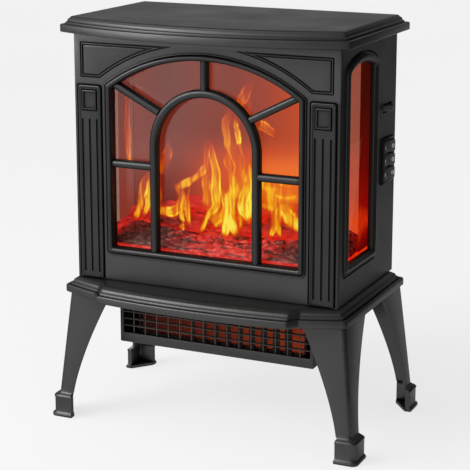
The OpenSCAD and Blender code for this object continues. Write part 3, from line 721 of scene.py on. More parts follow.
def build_slabs():
    """The cover and the hearth shelf."""
    under_cover = box_outline(-176, 176, FRONT + PANEL_T + 1, MID_Y + 96, 3.0)
    build_slab("cover_cast", "top_cover", ledge_outline, COVER_EDGE, cover_lo.z, 5.0, under_cover, 12)
    under_shelf = box_outline(-188, 188, MID_Y - 99, MID_Y + 99, 3.0)
    build_slab("shelf_cast", "hearth_shelf", shelf_outline, SHELF_EDGE, shelf_lo.z, 6.0, under_shelf, 15)


# ---- Front panel and window frame -------------------------------------------

GROOVE = [(0.0, 0.0), (0.25, 0.9), (0.45, 1.7), (1.05, 1.7), (1.35, 0.7), (1.75, 0.0), (2.3, -0.35),
          (2.8, -0.3), (3.2, 0.2), (3.45, 1.0), (3.65, 1.8), (4.5, 1.8), (4.75, 0.9), (5.0, 0.15), (5.3, 0.0)]


def build_front():
    """Flat plate with relief: two spandrels, two fluted pilasters and the window's hole."""
    shape = Shape()
    edge = 1.2
    z0, z1 = panel_lo.z, panel_hi.z
    outer = box_outline(-BODY_HALF + edge, BODY_HALF - edge, z0, z1, 0.4, 1)
    holes = [window_outline(1.0)]
    for side in (-1, 1):
        holes.append(spandrel_outline(0.0, side))
        holes.append([(side * x, z) for x, z in pilaster(0)])
    shape.fill(on_front(outer, 0), *[on_front(h, 0) for h in holes])
    rim = [box_outline(-BODY_HALF + i, BODY_HALF - i, z0, z1, 0.4, 1) for i in (edge, 0.35, 0.0, 0.0)]
    shape.loft([on_front(o, d) for o, d in zip(rim, (0, 0.25, 1.1, PANEL_T))])
    shape.fill(on_front(rim[-1], PANEL_T), on_front(window_outline(1.0), PANEL_T))
    shape.loft([on_front(window_outline(1.0), d) for d in (0, PANEL_T)])
    for side in (-1, 1):
        rings = [on_front(spandrel_outline(i, side), d) for i, d in GROOVE]
        shape.loft(rings)
        shape.fill(rings[-1])
        build_pilaster(shape, side)
    shape.piece("front_cast", front_black, "front_panel")


def pilaster(inset):
    """Outline of a pilaster on the right, square at its foot and rounded above."""
    foot = panel_lo.z + 2 + 0.05 * inset
    near, far, head = PILASTER_IN + inset, PILASTER_OUT - inset, PILASTER_TOP - inset
    points = [(near, foot), (far, foot), (far, head), (near, head)]
    top = max(4.5 - inset * 0.6, 1.0)
    return rounded(points, {2: top, 3: top})


def build_pilaster(shape, side):
    """A groove round a raised field that carries a square above three flutes."""
    profile = [(0.0, 0.0), (0.2, 0.9), (0.4, 1.9), (1.5, 1.9), (1.7, 0.9), (1.9, -0.6), (2.4, -1.5),
               (3.2, -1.95), (4.0, -2.0), (4.8, -1.8), (5.3, -1.3), (5.8, -1.1)]

    def ring(outline, depth):
        return on_front([(side * x, z) for x, z in outline], depth)

    shape.loft([ring(pilaster(i), d) for i, d in profile])
    field = -1.1
    insets = (0, 0.3, 0.6, 1.2, 1.5, 1.8, 2.6, 3.4, 3.7, 4.2, 4.4, 4.8)
    square = [box_outline(150.4 + i, 173.6 - i, 418.5 + i, 447.0 - i, 0.6) for i in insets]
    depths = (field, 0.2, 0.7, 0.7, -0.6, -2.2, -2.6, -2.4, -1.5, -0.6, -0.4, -0.4)
    flutes = [pill(x, FLUTE_HALF, FLUTE_FOOT, FLUTE_TOP) for x in FLUTES_X]
    shape.fill(ring(pilaster(5.8), field), ring(square[0], field), *[ring(f, field) for f in flutes])
    shape.loft([ring(o, d) for o, d in zip(square, depths)])
    shape.fill(ring(square[-1], depths[-1]))
    for x in FLUTES_X:
        rings = [ring(pill(x, FLUTE_HALF - i, FLUTE_FOOT + i, FLUTE_TOP - i), field + d)
                 for i, d in ((0, 0), (0.2, 0.7), (0.6, 1.5), (1.1, 1.8))]
        shape.loft(rings)
        shape.fill(rings[-1])


def build_window_frame():
    """Moulded bead round the front window."""
    shape = Shape()
    flange = [(0.0, 0.8), (0.0, -1.5), (0.35, -2.2), (1.1, -2.35), (1.6, -2.0), (1.9, -1.6)]
    crown = [(5.7 - 3.6 * cos(radians(t)), -1.4 - 3.1 * sin(radians(t)))
             for t in (0, 22, 45, 67, 90, 113, 135, 158)]
    jamb = [(9.6, -0.9), (9.9, 0.2), (10.0, 2.0), (10.0, 9.0)]
    shape.loft([on_front(window_outline(i), d) for i, d in flange + crown + jamb])
    shape.fill(on_front(window_outline(10.0), 9.0), on_front(window_outline(3.0), 9.0))
    shape.loft([on_front(window_outline(3.0), d) for d in (9.0, PANEL_T)])
    shape.piece("window_bead", shaded_bar_black, "window_frame")


def bar_section(half, crown=-1.6):
    """D-shaped section of a glazing bar as (across, depth)."""
    curve = [(half * cos(radians(t)), 3.2 + (crown - 3.2) * sin(radians(t)))
             for t in range(0, 181, 15)]
    return [(half, 9.0)] + curve + [(-half, 9.0)]


def build_bars():
    """Inner arch with its posts, then rails and spokes."""
    half = BAR_W / 2

    def plane(u, v, depth):
        return (u, FRONT + depth, v)

    foot = window_lo.z + 6
    shape = Shape()
    path = [(ARCH_R, foot)] + arc(0, ARCH_Z, ARCH_R, 0, 180, 40) + [(-ARCH_R, foot)]
    shape.rod(path, bar_section(half), plane)
    shape.piece("arch_bar", shaded_bar_black)
    thin = bar_section(half * 0.9, -0.9)
    for side, name in SIDES:
        shape = Shape()
        shape.rod([(side * ARCH_R, RAIL_Z), (side * (WIN_HALF - 6), RAIL_Z)], thin, plane)
        lean = radians(27)
        start, reach = 2.0, 77.0
        at = [(side * (62 + d * cos(lean)), 422 + d * sin(lean)) for d in (start, reach)]
        shape.rod(at, thin, plane)
        shape.piece("bars_" + name, shaded_bar_black)
    shape = Shape()
    shape.rod([(0, ARCH_Z + ARCH_R), (0, window_hi.z - 6)], thin, plane)
    shape.piece("bar_top", shaded_bar_black)


def build_glass():
    """The panes, with softened edges."""

    def edge(lo, hi):
        return [(4.6, lo), (4.0, lo + 0.5), (4.0, hi - 0.5), (4.6, hi)]

    shape = Shape()
    rings = edge(glass_lo.y, glass_hi.y)
    shape.loft([[(x, y, z) for x, z in window_outline(i)] for i, y in rings], first=True, last=True)
    shape.piece("front_pane", front_pane, "front_glass")
    for side, name in SIDES:
        shape = Shape()
        rings = edge(side_glass_lo.x, side_glass_hi.x)
        shape.loft([[(side * x, y, z) for y, z in side_outline(i)] for i, x in rings], first=True, last=True)
        shape.piece(name + "_pane", side_pane, name + "_glass")


# ---- Side walls -------------------------------------------------------------

def build_wall(side, name):
    """Side wall with its window hole and the groove round it; the right one has two more holes."""
    shape = Shape()
    y0, y1 = FRONT + PANEL_T, wall_hi.y
    z0, z1 = wall_lo.z, wall_hi.z
    t = 3.0
    outer = [(y0, z0), (y1, z0), (y1, z1), (y0, z1)]
    holes = []
    if side > 0:
        mid_y = (bezel_lo.y + bezel_hi.y) / 2
        mid_z = (bezel_lo.z + bezel_hi.z) / 2
        wheel_y = (wheel_lo.y + wheel_hi.y) / 2
        wheel_z = wheel_hi.z - 3.5
        holes.append(box_outline(mid_y - 19, mid_y + 19, mid_z - 26.9, mid_z + 26.9, 0.8, 2))
        holes.append(box_outline(wheel_y - 16.6, wheel_y + 16.6, wheel_z - 6, wheel_z + 6, 1.0, 3))
    window = side_outline(2.0)
    ring = [(-3.8, 0.0), (-3.6, 0.8), (-3.3, 1.7), (-1.9, 1.7), (-1.6, 0.8), (-1.4, 0.0)]
    groove = [on_wall(side_outline(i), d, side) for i, d in ring]
    shape.fill(on_wall(outer, 0, side), groove[0], *[on_wall(h, 0, side) for h in holes])
    shape.loft(groove)
    shape.fill(groove[-1], on_wall(window, 0, side))
    shape.fill(on_wall(outer, t, side), on_wall(window, t, side), *[on_wall(h, t, side) for h in holes])
    for loop in [outer, window] + holes:
        shape.loft([on_wall(loop, 0, side), on_wall(loop, t, side)])
    shape.block((min(side * 164, side * 180), y1 - 4.5, z0),
                (max(side * 164, side * 180), y1 - 1.5, z1 - 1.5))
    shape.piece(name + "_wall", sheet_black, name + "_panel")
    shape = Shape()
    x0, x1 = sorted((side * (LINER_X - 0.4), side * LINER_X))
    shape.block((x0, LINER_FRONT, 244), (x1, screen_lo.y - 0.3, z1 - 16))
    shape.piece(name + "_liner", liner_paint(name, side))


def liner_paint(name, side):
    """Red-brown enamel of a firebox liner, with painted light: the fire's glow on it is painted as emission
    that changes with height, with a bright painted band low on the right liner.
    """
    paint = Paint(name + "_liner")
    # Painted light: the emission stands in for the fire's glow falling on the inner wall.
    face = paint.shader(Base_Color=(0.04, 0.012, 0.01, 1.0), Roughness=0.35, Emission_Strength=1.6)
    height = paint.remap(paint.axis("Z"), 0.24, 0.47, 0.0, 1.0)
    painted_fire_glow = paint.math("ADD", height, paint.wobble(0.08, 30.0, 3.0, 0.5, (1, 1, 0.5)))
    # Painted highlight: a bright band low on the right liner.
    if side > 0:
        stops = [(0.0, (0.2, 0.004, 0.003)), (0.08, (0.4, 0.008, 0.004)), (0.15, (0.95, 0.07, 0.006)),
                 (0.24, (0.4, 0.008, 0.004)), (0.5, (0.2, 0.006, 0.003)), (0.9, (0.08, 0.01, 0.003))]
    else:
        stops = [(0.2, (0.16, 0.024, 0.014)), (0.9, (0.10, 0.024, 0.017))]
    paint.link(paint.ramp(painted_fire_glow, stops), face.inputs["Emission Color"])
    return paint.mat


def build_side_frame(side, name):
    """Moulded bead round a side window."""
    shape = Shape()
    profile = [(0.0, 1.5), (0.0, -1.3), (0.3, -2.0), (1.1, -2.3), (1.7, -2.0), (2.0, -1.5)]
    profile += [(5.4 - 3.4 * cos(radians(a)), -1.4 - 2.5 * sin(radians(a)))
                for a in (0, 25, 50, 75, 100, 125, 150)]
    profile += [(9.3, -1.1), (10.4, -0.9), (10.9, 0.0), (11.0, 1.4), (11.0, 5.8)]
    shape.loft([on_wall(side_outline(i), d, side) for i, d in profile])
    shape.fill(on_wall(side_outline(11.0), 5.8, side), on_wall(side_outline(3.2), 5.8, side))
    shape.loft([on_wall(side_outline(3.2), d, side) for d in (5.8, 1.5)])
    shape.fill(on_wall(side_outline(3.2), 1.5, side), on_wall(side_outline(0.0), 1.5, side))
    shape.piece(name + "_window_bead", cast_black, name + "_window_frame")


# ---- Legs -------------------------------------------------------------------

FOOT_TOP = 31.0
LEG_TOP = shelf_lo.z - 0.2


def leg_ring(corner_x, corner_y, wide_x, wide_y, thick, z, r=3.2):
    """Section of a corner leg, drawn for positive x and y, with its outer corner rounded."""
    inner = max(r - thick, 0.4) + 0.8
    points = [(corner_x - wide_x, corner_y), (corner_x - wide_x, corner_y - thick),
              (corner_x - thick, corner_y - thick), (corner_x - thick, corner_y - wide_y),
              (corner_x, corner_y - wide_y), (corner_x, corner_y)]
    rounds = {0: 0.7, 1: 0.4, 2: inner, 3: 0.4, 4: 0.7, 5: r}
    return flat(rounded(points, rounds, 4), z)


def leg_rings():
    """Sections of a leg from its foot, through the collar, up to the shelf."""
    foot_x, foot_y = leg_hi.x, leg_hi.y
    rings = []
    profile = [(0.7, 1.8), (1.1, 2.4), (2.0, 2.55), (3.4, 2.5), (4.4, 2.1), (5.2, 1.3), (6.2, 0.5),
               (7.6, 0.0), (16.0, 0.0), (25.5, 0.0), (27.0, 0.5), (28.4, 0.6), (29.6, 0.1), (31.0, -1.6),
               (32.4, -3.6)]
    for z, out in profile:
        x, y = foot_x - 2.6 + out, foot_y - 2.6 + out
        rings.append(leg_ring(x, y, 28.0 + 1.4 * out, 33.0 + 1.4 * out, 6.4, z, 8.0))
    steps = 34
    for i in range(steps + 1):
        z = 34.2 + (LEG_TOP - 34.2) * i / steps
        t = (z - FOOT_TOP) / (shelf_lo.z - FOOT_TOP)
        x = foot_x - 9 - 15.5 * t
        y = foot_y - 7 - 10.5 * t
        rings.append(leg_ring(x, y, 21.5 + 38.7 * t**1.55, 26 + 48.8 * t**1.9, LEG_T, z, 6.5))
    return rings


def build_leg(sx, sy, name):
    """One cast corner leg with its foot, collar and fixing plate."""
    shape = Shape()

    def mirrored(points):
        return [(sx * x, MID_Y + sy * (y - MID_Y), z) for x, y, z in points]

    shape.loft([mirrored(ring) for ring in leg_rings()], first=True, last=True)
    x1, y1 = leg_hi.x, leg_hi.y
    sole = [(x1 - 0.4, y1 - 0.4), (x1 - 0.4, y1 - 36), (x1 - 9, y1 - 37), (x1 - 31, y1 - 10),
            (x1 - 31, y1 - 0.4)]
    sole = rounded(sole, {0: 8.0, 1: 1.5, 2: 2, 3: 2, 4: 1.5})
    web = [flat(sole, 0.7), flat(sole, 4.6)]
    shape.loft([mirrored(r) for r in web], first=True, last=True)
    px, py = 192.0, MID_Y + 103.0
    plate = [(px - 46, py - 22), (px - 46, py + 1.5), (px + 1.5, py + 1.5), (px + 1.5, py - 50),
             (px - 18, py - 50)]
    plate = rounded(plate, {0: 3, 4: 3})
    shape.loft([mirrored(flat(plate, z)) for z in (164.5, 167.4)], first=True, last=True)
    shape.piece(name + "_cast", cast_black, name, sharp=42)


# ---- Heater -----------------------------------------------------------------

def build_housing():
    """Folded sheet box under the pan, open in front, with a row of inlet slots behind."""
    shape = Shape()
    x1 = grille_hi.x
    y0, y1 = grille_lo.y + 3, housing_hi.y
    z0, z1 = housing_lo.z, housing_hi.z

    def ring(x, z_low, z_high, y, r):
        return [(px, y, pz) for px, pz in box_outline(-x, x, z_low, z_high, r)]

    shape.loft([ring(x1 - 1.5, z0 + 1.5, z1, y0, 0.6), ring(x1, z0, z1, y0, 1.6),
                ring(x1, z0, z1, y1 - 1.5, 1.6),
                ring(x1 - 0.6, z0 + 0.6, z1, y1, 1.6)])
    shape.loft([ring(x1 - 1.5, z0 + 1.5, z1, y0, 0.6), ring(x1 - 1.5, z0 + 1.5, z1 - 0.5, y1 - 1.5, 0.6)])
    slots = [box_outline(x - 4, x + 4, z, z + 4, 1.6) for x in range(-120, 121, 12)
             for z in (115, 124, 133, 142, 151)]
    for y, inner in ((y1, 0.6), (y1 - 1.5, 1.5)):
        back = ring(x1 - inner, z0 + inner, z1 if inner < 1 else z1 - 0.5, y, 1.6 if inner < 1 else 0.6)
        shape.fill(back, *[[(px, y, pz) for px, pz in s] for s in slots])
    for s in slots:
        shape.loft([[(px, y1, pz) for px, pz in s], [(px, y1 - 1.5, pz) for px, pz in s]])
    for side in (-1, 1):
        lo, hi = sorted((side * 127, side * housing_hi.x))
        shape.block((lo, MID_Y - 52, z1 - 1.5), (hi, MID_Y + 52, z1))
    shape.piece("heater_case", housing_black, "heater_housing")


def build_grille():
    """Outlet frame with five slats and a row of thin uprights."""
    shape = Shape()
    x1, y0 = grille_hi.x, grille_lo.y
    z0, z1 = grille_lo.z, grille_hi.z

    def ring(inset, out):
        return [(x, y0 + out, z)
                for x, z in box_outline(-x1 + inset, x1 - inset, z0 + inset, z1 - inset * 0.2, 1.5)]

    def hole(inset, out):
        return [(x, y0 + out, z) for x, z in box_outline(-x1 + 5 + inset, x1 - 5 - inset, z0 + 13 + inset,
                                                         z1 - 5 - inset, 1.2)]

    shape.loft([ring(0, 3), ring(0, 0.8), ring(0.5, 0.15), ring(1.2, 0)])
    shape.fill(ring(1.2, 0), hole(-0.9, 0))
    shape.loft([hole(-0.9, 0), hole(-0.3, 0.3), hole(0, 1.0), hole(0, 3)])
    shape.fill(ring(0, 3), hole(0, 3))
    shape.piece("outlet_frame", housing_black, "heater_grille")
    shape = Shape()
    for i in range(1, 6):
        z = z0 + 13 + i * 9.7
        section = [(y0 + 1.2, z - 0.2), (y0 + 1.0, z + 0.25), (y0 + 1.4, z + 0.7), (y0 + 6, z + 0.9),
                   (y0 + 6, z - 0.4), (y0 + 1.7, z - 0.7)]
        ends = [[(x, y, v) for y, v in section] for x in (-x1 + 4, x1 - 4)]
        shape.loft(ends, first=True, last=True)
    shape.piece("outlet_slats", slat_black)
    shape = Shape()
    for i in range(-7, 8):
        x = i * 17.2
        section = [(x + 0.75 * cos(a), y0 + 2.5 + 0.8 * sin(a))
                   for a in (2 * pi * k / 10 for k in range(10))]
        shape.loft([flat(section, z0 + 11), flat(section, z1 - 3)], first=True, last=True)
    shape.piece("outlet_wires", slat_black)


def build_element():
    """Glowing finned element: two end frames, ceramic strips and close fins."""
    shape = Shape()
    lo, hi = element_lo, element_hi
    for i in range(-30, 31):
        x = i * 3.9
        fin = [(x - 0.25, lo.y + 2), (x + 0.25, lo.y + 2), (x + 0.9, lo.y + 7), (x + 0.25, lo.y + 12),
               (x - 0.25, lo.y + 12), (x + 0.4, lo.y + 7)]
        shape.loft([flat(fin, lo.z + 3), flat(fin, hi.z - 3)], first=True, last=True)
    shape.piece("element_fins", glow_fins, "heating_element")
    shape = Shape()
    for z in (lo.z, hi.z - 3):
        shape.block((lo.x, lo.y + 1, z), (hi.x, hi.y, z + 3))
    for x in (lo.x, hi.x - 3):
        shape.block((x, lo.y + 1, lo.z), (x + 3, hi.y, hi.z))
    shape.piece("element_frame", scorched, bevel=0.3)
    shape = Shape()
    for i in range(-2, 7):
        x = i * 17.2 - 5.5
        width = 3.2 + 0.35 * i
        shape.loft([flat(box_outline(x - width, x + width, lo.y - 1.6, lo.y - 0.4, 0.5, 2), z)
                    for z in (lo.z, hi.z)], first=True, last=True)
    shape.piece("element_posts", scorched)
    shape = Shape()
    rows = 9
    for k in range(rows):
        z = lo.z + 5 + (hi.z - lo.z - 10) * k / (rows - 1)
        path = [(lo.x + 4 + (hi.x - lo.x - 8) * i / 120, z + 1.6 * sin(i * 0.9 + k)) for i in range(121)]
        ring = [(1.3 * cos(2 * pi * j / 6), 1.3 * sin(2 * pi * j / 6)) for j in range(6)]
        shape.rod(path, ring, lambda u, v, o: (u, hi.y + 4.0 + o, v))
    shape.piece("element_wire", glow_wire)


def heat_glow(name, dark, hot):
    """Warm glow that grows towards the right end, as the outlet is seen."""
    paint = Paint(name)
    face = paint.shader(Base_Color=(0.03, 0.02, 0.02, 1.0), Roughness=0.6)
    across = paint.remap(paint.axis("X"), -0.11, 0.12, 0.0, 1.0)
    uneven = paint.math("ADD", across, paint.math("MULTIPLY", paint.noise(45.0, 2.0), 0.3))
    paint.link(paint.ramp(uneven, [(0.15, dark), (1.05, hot)]), face.inputs["Emission Color"])
    paint.link(paint.remap(paint.noise(160.0, 2.0), 0.3, 0.7, 0.75, 1.2),
               face.inputs["Emission Strength"])
    paint.bump(paint.noise(300.0), 0.0002, 0.4, face)
    return paint.mat


slat_black = powder_coat("slat_black", (0.05, 0.042, 0.036), (0.085, 0.07, 0.06), (0.4, 0.55), 900.0)
scorched = powder_coat("scorched", (0.008, 0.006, 0.005), (0.02, 0.014, 0.012), (0.55, 0.7), 700.0, 0.3)
glow_fins = heat_glow("glow_fins", (0.018, 0.0015, 0.001), (0.16, 0.018, 0.005))
glow_wire = heat_glow("glow_wire", (0.05, 0.003, 0.002), (0.5, 0.06, 0.014))


# ---- Fire -------------------------------------------------------------------

def smooth(t):
    t = np.clip(t, 0.0, 1.0)
    return t * t * (3 - 2 * t)


class Clouds:
    """Seeded value noise on a plane, for numpy arrays."""

    def __init__(self, seed):
        self.grid = np.random.default_rng(seed).random((64, 64))

    def at(self, u, v):
        iu, iv = np.floor(u).astype(int), np.floor(v).astype(int)
        fu, fv = smooth(u - iu), smooth(v - iv)
        g = self.grid
        a = g[iu % 64, iv % 64] * (1 - fu) + g[(iu + 1) % 64, iv % 64] * fu
        b = g[iu % 64, (iv + 1) % 64] * (1 - fu) + g[(iu + 1) % 64, (iv + 1) % 64] * fu
        return a * (1 - fv) + b * fv

    def layers(self, u, v, count=3):
        total, weight, size = 0.0, 0.0, 1.0
        for k in range(count):
            total = total + self.at(u * 2**k + 7 * k, v * 2**k + 3 * k) * size
            weight += size
            size *= 0.55
        return total / weight


# Each tongue: its line from the root to the tip, the half width along it, and how bright it burns
TONGUES = [
    # left pane
    ([(-116, 272), (-110, 290), (-105, 308), (-103, 324), (-95, 336)], [3, 4.2, 5, 5, 2.4], 0.85),
    ([(-102, 279), (-97, 300), (-96, 316), (-90, 330)], [2.6, 4, 4.4, 3.5], 0.8),
    ([(-88, 286), (-88, 306), (-86, 330)], [8, 12, 8], 0.62),
    ([(-123, 344), (-124, 372), (-125, 404), (-127, 446)], [2.8, 4, 3.6, 1.2], 0.66),
    # left curl and its long crest
    ([(-82, 289), (-66, 287), (-54, 293), (-47, 306), (-50, 318), (-60, 327)], [5, 6, 6, 5, 4, 1], 0.92),
    ([(-54, 322), (-38, 330), (-22, 340), (-13, 352), (-10, 366), (-11, 379)], [4.2, 5, 4.4, 4, 3, 1], 0.85),
    ([(-84, 338), (-75, 350), (-68, 364), (-64, 380)], [7, 8, 6, 2.4], 0.56),
    # small pair left of the middle
    ([(-48, 276), (-46, 294), (-43, 312)], [3, 3.6, 1], 1.0),
    ([(-38, 276), (-39, 296), (-38, 312), (-36, 324)], [2.4, 3.4, 2, 1], 0.95),
    ([(-50, 266), (-46, 270), (-42, 270)], [3, 3, 1.5], 0.8),
    # middle
    ([(-12, 300), (-12, 330), (-9, 352), (-15, 384)], [4.5, 6, 5, 1.4], 0.85),
    ([(0, 298), (2, 326), (3, 350), (-3, 368), (-8, 386)], [5, 7, 5.4, 4, 1.2], 0.9),
    ([(-23, 267), (-13, 283), (0, 300), (8, 320)], [2.6, 3.6, 5, 3], 1.0),
    ([(-6, 278), (2, 292), (6, 310)], [9, 12, 8], 0.6),
    ([(18, 272), (26, 296), (38, 316), (44, 338)], [12, 19, 17, 9], 0.6),
    # bright cluster right of the middle
    ([(14, 264), (17, 286), (15, 308), (9, 332)], [3, 6, 6.4, 2], 1.2),
    ([(28, 266), (22, 286), (23, 306), (31, 330), (35, 352)], [3, 6.4, 7.6, 6.4, 2], 1.2),
    ([(30, 318), (26, 340), (19, 362), (18, 376)], [4, 5, 4, 1.4], 0.72),
    ([(33, 336), (36, 360), (28, 378), (22, 398), (24, 418), (34, 432)], [6, 8, 10, 12, 11, 3], 0.5),
    ([(33, 386), (31, 400), (28, 416)], [2.6, 4.4, 1.6], 1.15),
    ([(18, 376), (14, 398), (18, 418), (30, 432)], [4, 4.8, 4.4, 1.4], 0.5),
    ([(32, 436), (40, 446), (47, 456), (54, 471)], [6, 8, 6, 1.6], 0.54),
    ([(44, 420), (46, 438), (50, 456)], [5, 6, 2], 0.38),
    # right of the centre pane
    ([(48, 288), (40, 303), (42, 322), (48, 342), (48, 360)], [4.6, 6, 7, 6, 2], 1.1),
    ([(56, 288), (56, 318), (55, 346), (52, 370)], [6, 9, 8, 2.4], 0.9),
    # right pane
    ([(56, 342), (72, 334), (92, 329), (120, 332)], [7, 9, 9, 8], 0.9),
    ([(66, 318), (86, 316), (104, 310), (120, 304)], [14, 16, 16, 15], 0.78),
    ([(79, 268), (83, 284), (80, 308)], [2.4, 4.6, 1.5], 1.12),
    ([(93, 270), (88, 286), (90, 304), (94, 314)], [2.4, 4.4, 4, 1.5], 1.1),
    ([(122, 284), (108, 294), (97, 308)], [6, 9, 6], 1.1),
    ([(62, 412), (73, 408), (90, 398)], [4.6, 6, 1.8], 0.68),
    # seen through the right side window
    ([(140, 262), (143, 290), (138, 316), (146, 344)], [5, 9, 7, 2], 0.8),
    ([(158, 262), (156, 284), (162, 306), (158, 330)], [5, 8, 6, 2], 0.72),
]


def flowing(line, widths, pieces=7):
    """Rounds a tongue's line: points and half widths on a curve through the given ones."""
    out = []
    last = len(line) - 1
    for i in range(last):
        p = [Vector((*line[min(max(i + k, 0), last)], widths[min(max(i + k, 0), last)]))
             for k in (-1, 0, 1, 2)]
        for j in range(pieces):
            t = j / pieces
            out.append(0.5 * (2 * p[1] + (p[2] - p[0]) * t + (2 * p[0] - 5 * p[1] + 4 * p[2] - p[3]) * t**2
                              + (3 * p[1] - p[0] - 3 * p[2] + p[3]) * t**3))
    out.append(Vector((*line[last], widths[last])))
    return out


def tongue_field(x, z, tongues, seed):
    """Brightness of the flames at points x, z: soft bodies with brighter, uneven edges."""
    clouds = Clouds(seed)
    x = x + (clouds.layers(x / 24, z / 30, 3) - 0.5) * 8
    z = z + (clouds.layers(x / 20 + 9, z / 26 + 5, 2) - 0.5) * 6
    strands = clouds.layers(x / 2.6 + 11, z / 26 + x / 40, 2)
    total = np.zeros_like(x)
    for number, (line, widths, bright) in enumerate(tongues):
        curve = flowing(line, widths)
        best = np.full_like(x, 9.0)
        along = np.zeros_like(x)
        spans = len(curve) - 1
        for i in range(spans):
            ax, az, wide = curve[i]
            dx, dz, grow = curve[i + 1] - curve[i]
            t = np.clip(((x - ax) * dx + (z - az) * dz) / (dx * dx + dz * dz), 0, 1)
            near = np.hypot(x - ax - dx * t, z - az - dz * t) / (max(wide, 0.4) * 1.45 + grow * t)
            closer = near < best
            best = np.where(closer, near, best)
            along = np.where(closer, (i + t) / spans, along)
        lick = clouds.layers(along * 5 + number * 3.1, best * 1.4 + number, 2)
        root = smooth(1.05 - along)
        body = smooth((1.12 - best) / 0.8) * (0.25 + 0.17 * root)
        edge = np.exp(-(((best - 0.6) / 0.15) ** 2)) * (0.34 + 0.26 * root) * smooth((lick - 0.28) / 0.3)
        core = np.exp(-((best / 0.6) ** 2)) * 0.42 * smooth(0.7 - along)
        fade = smooth(along / 0.22 + 0.3) * smooth((1.15 - along) / 0.5)
        shine = bright * ((body + edge + core) * fade + np.exp(-best * 1.0) * 0.17)
        total = np.maximum(total, shine) + 0.3 * np.minimum(total, shine)
    return total * (0.74 + 0.42 * smooth((strands - 0.3) / 0.4))


def picture_sheet(name, lo, hi, y0, y1, step, values, material, node):
    """A thin sheet with a fine grid in front that carries one value a point."""
    nx = int((hi.x - lo.x) / step)
    nz = int((hi.z - lo.z) / step)
    xs = np.linspace(lo.x, hi.x, nx + 1)
    zs = np.linspace(lo.z, hi.z, nz + 1)
    grid_x, grid_z = np.meshgrid(xs, zs)
    border = np.minimum(np.minimum(grid_x - lo.x, hi.x - grid_x), np.minimum(grid_z - lo.z, hi.z - grid_z))
    field = values(grid_x, grid_z, smooth(border / 5))
    front = [(x, y0, z) for z in zs for x in xs]
    faces = [(r * (nx + 1) + c, r * (nx + 1) + c + 1, (r + 1) * (nx + 1) + c + 1, (r + 1) * (nx + 1) + c)
             for r in range(nz) for c in range(nx)]
    rim = list(range(nx + 1)) + [(r + 1) * (nx + 1) - 1 for r in range(1, nz + 1)]
    rim += [nz * (nx + 1) + c for c in range(nx - 1, -1, -1)] + [r * (nx + 1) for r in range(nz - 1, 0, -1)]
    start = len(front)
    behind = [(front[i][0], y1, front[i][2]) for i in rim]
    count = len(rim)
    faces += [(rim[i], start + i, start + (i + 1) % count, rim[(i + 1) % count]) for i in range(count)]
    faces.append(tuple(start + i for i in range(count)))
    mesh = bpy.data.meshes.new(name)
    mesh.from_pydata([tuple(c * MM for c in v) for v in front + behind], [], faces)
    mesh.update()
    layer = mesh.attributes.new("burn", "FLOAT", "POINT")
    flat_values = field.ravel()
    layer.data.foreach_set("value", np.concatenate([flat_values, 0 * flat_values[rim]]).astype(np.float32))
    place_mesh(mesh, material, node, "stove")


FLAME_COLOURS = [(0.0, (0.6, 0.015, 0.0)), (0.2, (0.9, 0.06, 0.003)), (0.4, (1.0, 0.17, 0.006)),
                 (0.6, (1.0, 0.36, 0.01)), (0.8, (1.0, 0.6, 0.02)), (1.0, (1.0, 0.85, 0.09))]


def film_paint():
    """Clear film: flames glow where the picture is, and it is invisible elsewhere."""
    paint = Paint("flame_film")
    value = paint.burn()
    see = paint.node("BsdfTransparent")
    glow = paint.node("Emission")
    paint.link(paint.ramp(value, FLAME_COLOURS), glow.inputs["Color"])
    paint.link(paint.remap(value, 0.1, 1.1, 0.8, 1.2), glow.inputs["Strength"])
    paint.layer(paint.remap(value, 0.04, 0.62, 0.0, 0.95), see, glow)
    return paint.mat


def screen_paint():
    """Rear screen: deep red at the left, orange at the right. Its right strip carries painted
    reflection: a pale haze, redder low down, painted as the room mirrored in the right side window, glowing
    twice as bright."""
    paint = Paint("flame_screen")
    face = paint.shader(Base_Color=(0.06, 0.02, 0.015, 1.0), Roughness=0.5)
    value = paint.burn()
    colours = [(0.0, (0.06, 0.003, 0.001)), (0.25, (0.13, 0.010, 0.003)), (0.5, (0.34, 0.032, 0.005)),
               (0.75, (0.66, 0.075, 0.007)), (1.0, (1.0, 0.2, 0.018))]
    # Painted reflection: a pale haze on the right strip, as the room mirrored in the side window, redder low
    # down.
    up = paint.remap(paint.axis("Z"), 0.25, 0.45, 0.0, 1.0)
    haze_height = paint.math("ADD", up, paint.wobble(0.1, 24.0, 2.0))
    painted_room_haze = paint.ramp(haze_height, [(0.1, (0.92, 0.16, 0.03)), (0.32, (0.6, 0.16, 0.075)),
                                   (0.6, (0.42, 0.17, 0.1)), (1.0, (0.36, 0.175, 0.13))])
    haze_strip = paint.remap(paint.axis("X"), 0.125, 0.145, 0.0, 1.0)
    paint.link(paint.mix(haze_strip, paint.ramp(value, colours), painted_room_haze), face.inputs["Emission Color"])
    ahead = paint.remap(paint.axis("Y"), (screen_lo.y + 0.4) * MM, (screen_hi.y - 0.4) * MM, 1.0, 0.06)
    paint.link(paint.math("MULTIPLY", paint.math("ADD", haze_strip, 1.0), ahead),
               face.inputs["Emission Strength"])
    return paint.mat


def screen_field(x, z, border):
    """Glow of the rear screen; it reaches the border, so the border value is left alone."""
    clouds = Clouds(5)
    drift = clouds.layers(x / 60, z / 110, 3) - 0.5
    across = smooth((x + 95) / 300)
    low = smooth((385 - z) / 60) * (1 - 0.25 * smooth((x - 30) / 60))
    warm = 0.3 + 0.6 * across + 0.42 * low * smooth((x + 130) / 90) + 0.14 * drift
    return np.clip(warm, 0.0, 1.0)


def bed_height(x, y):
    """Top of the ember bed: it rises towards the back and falls off at both ends."""
    run = (y - bed_lo.y) / (bed_hi.y - bed_lo.y)
    ends = float(smooth((abs(x) - 112) / 55))
    return 246 + 30 * max(run, 0.0) ** 0.8 * (1 - 0.72 * ends)


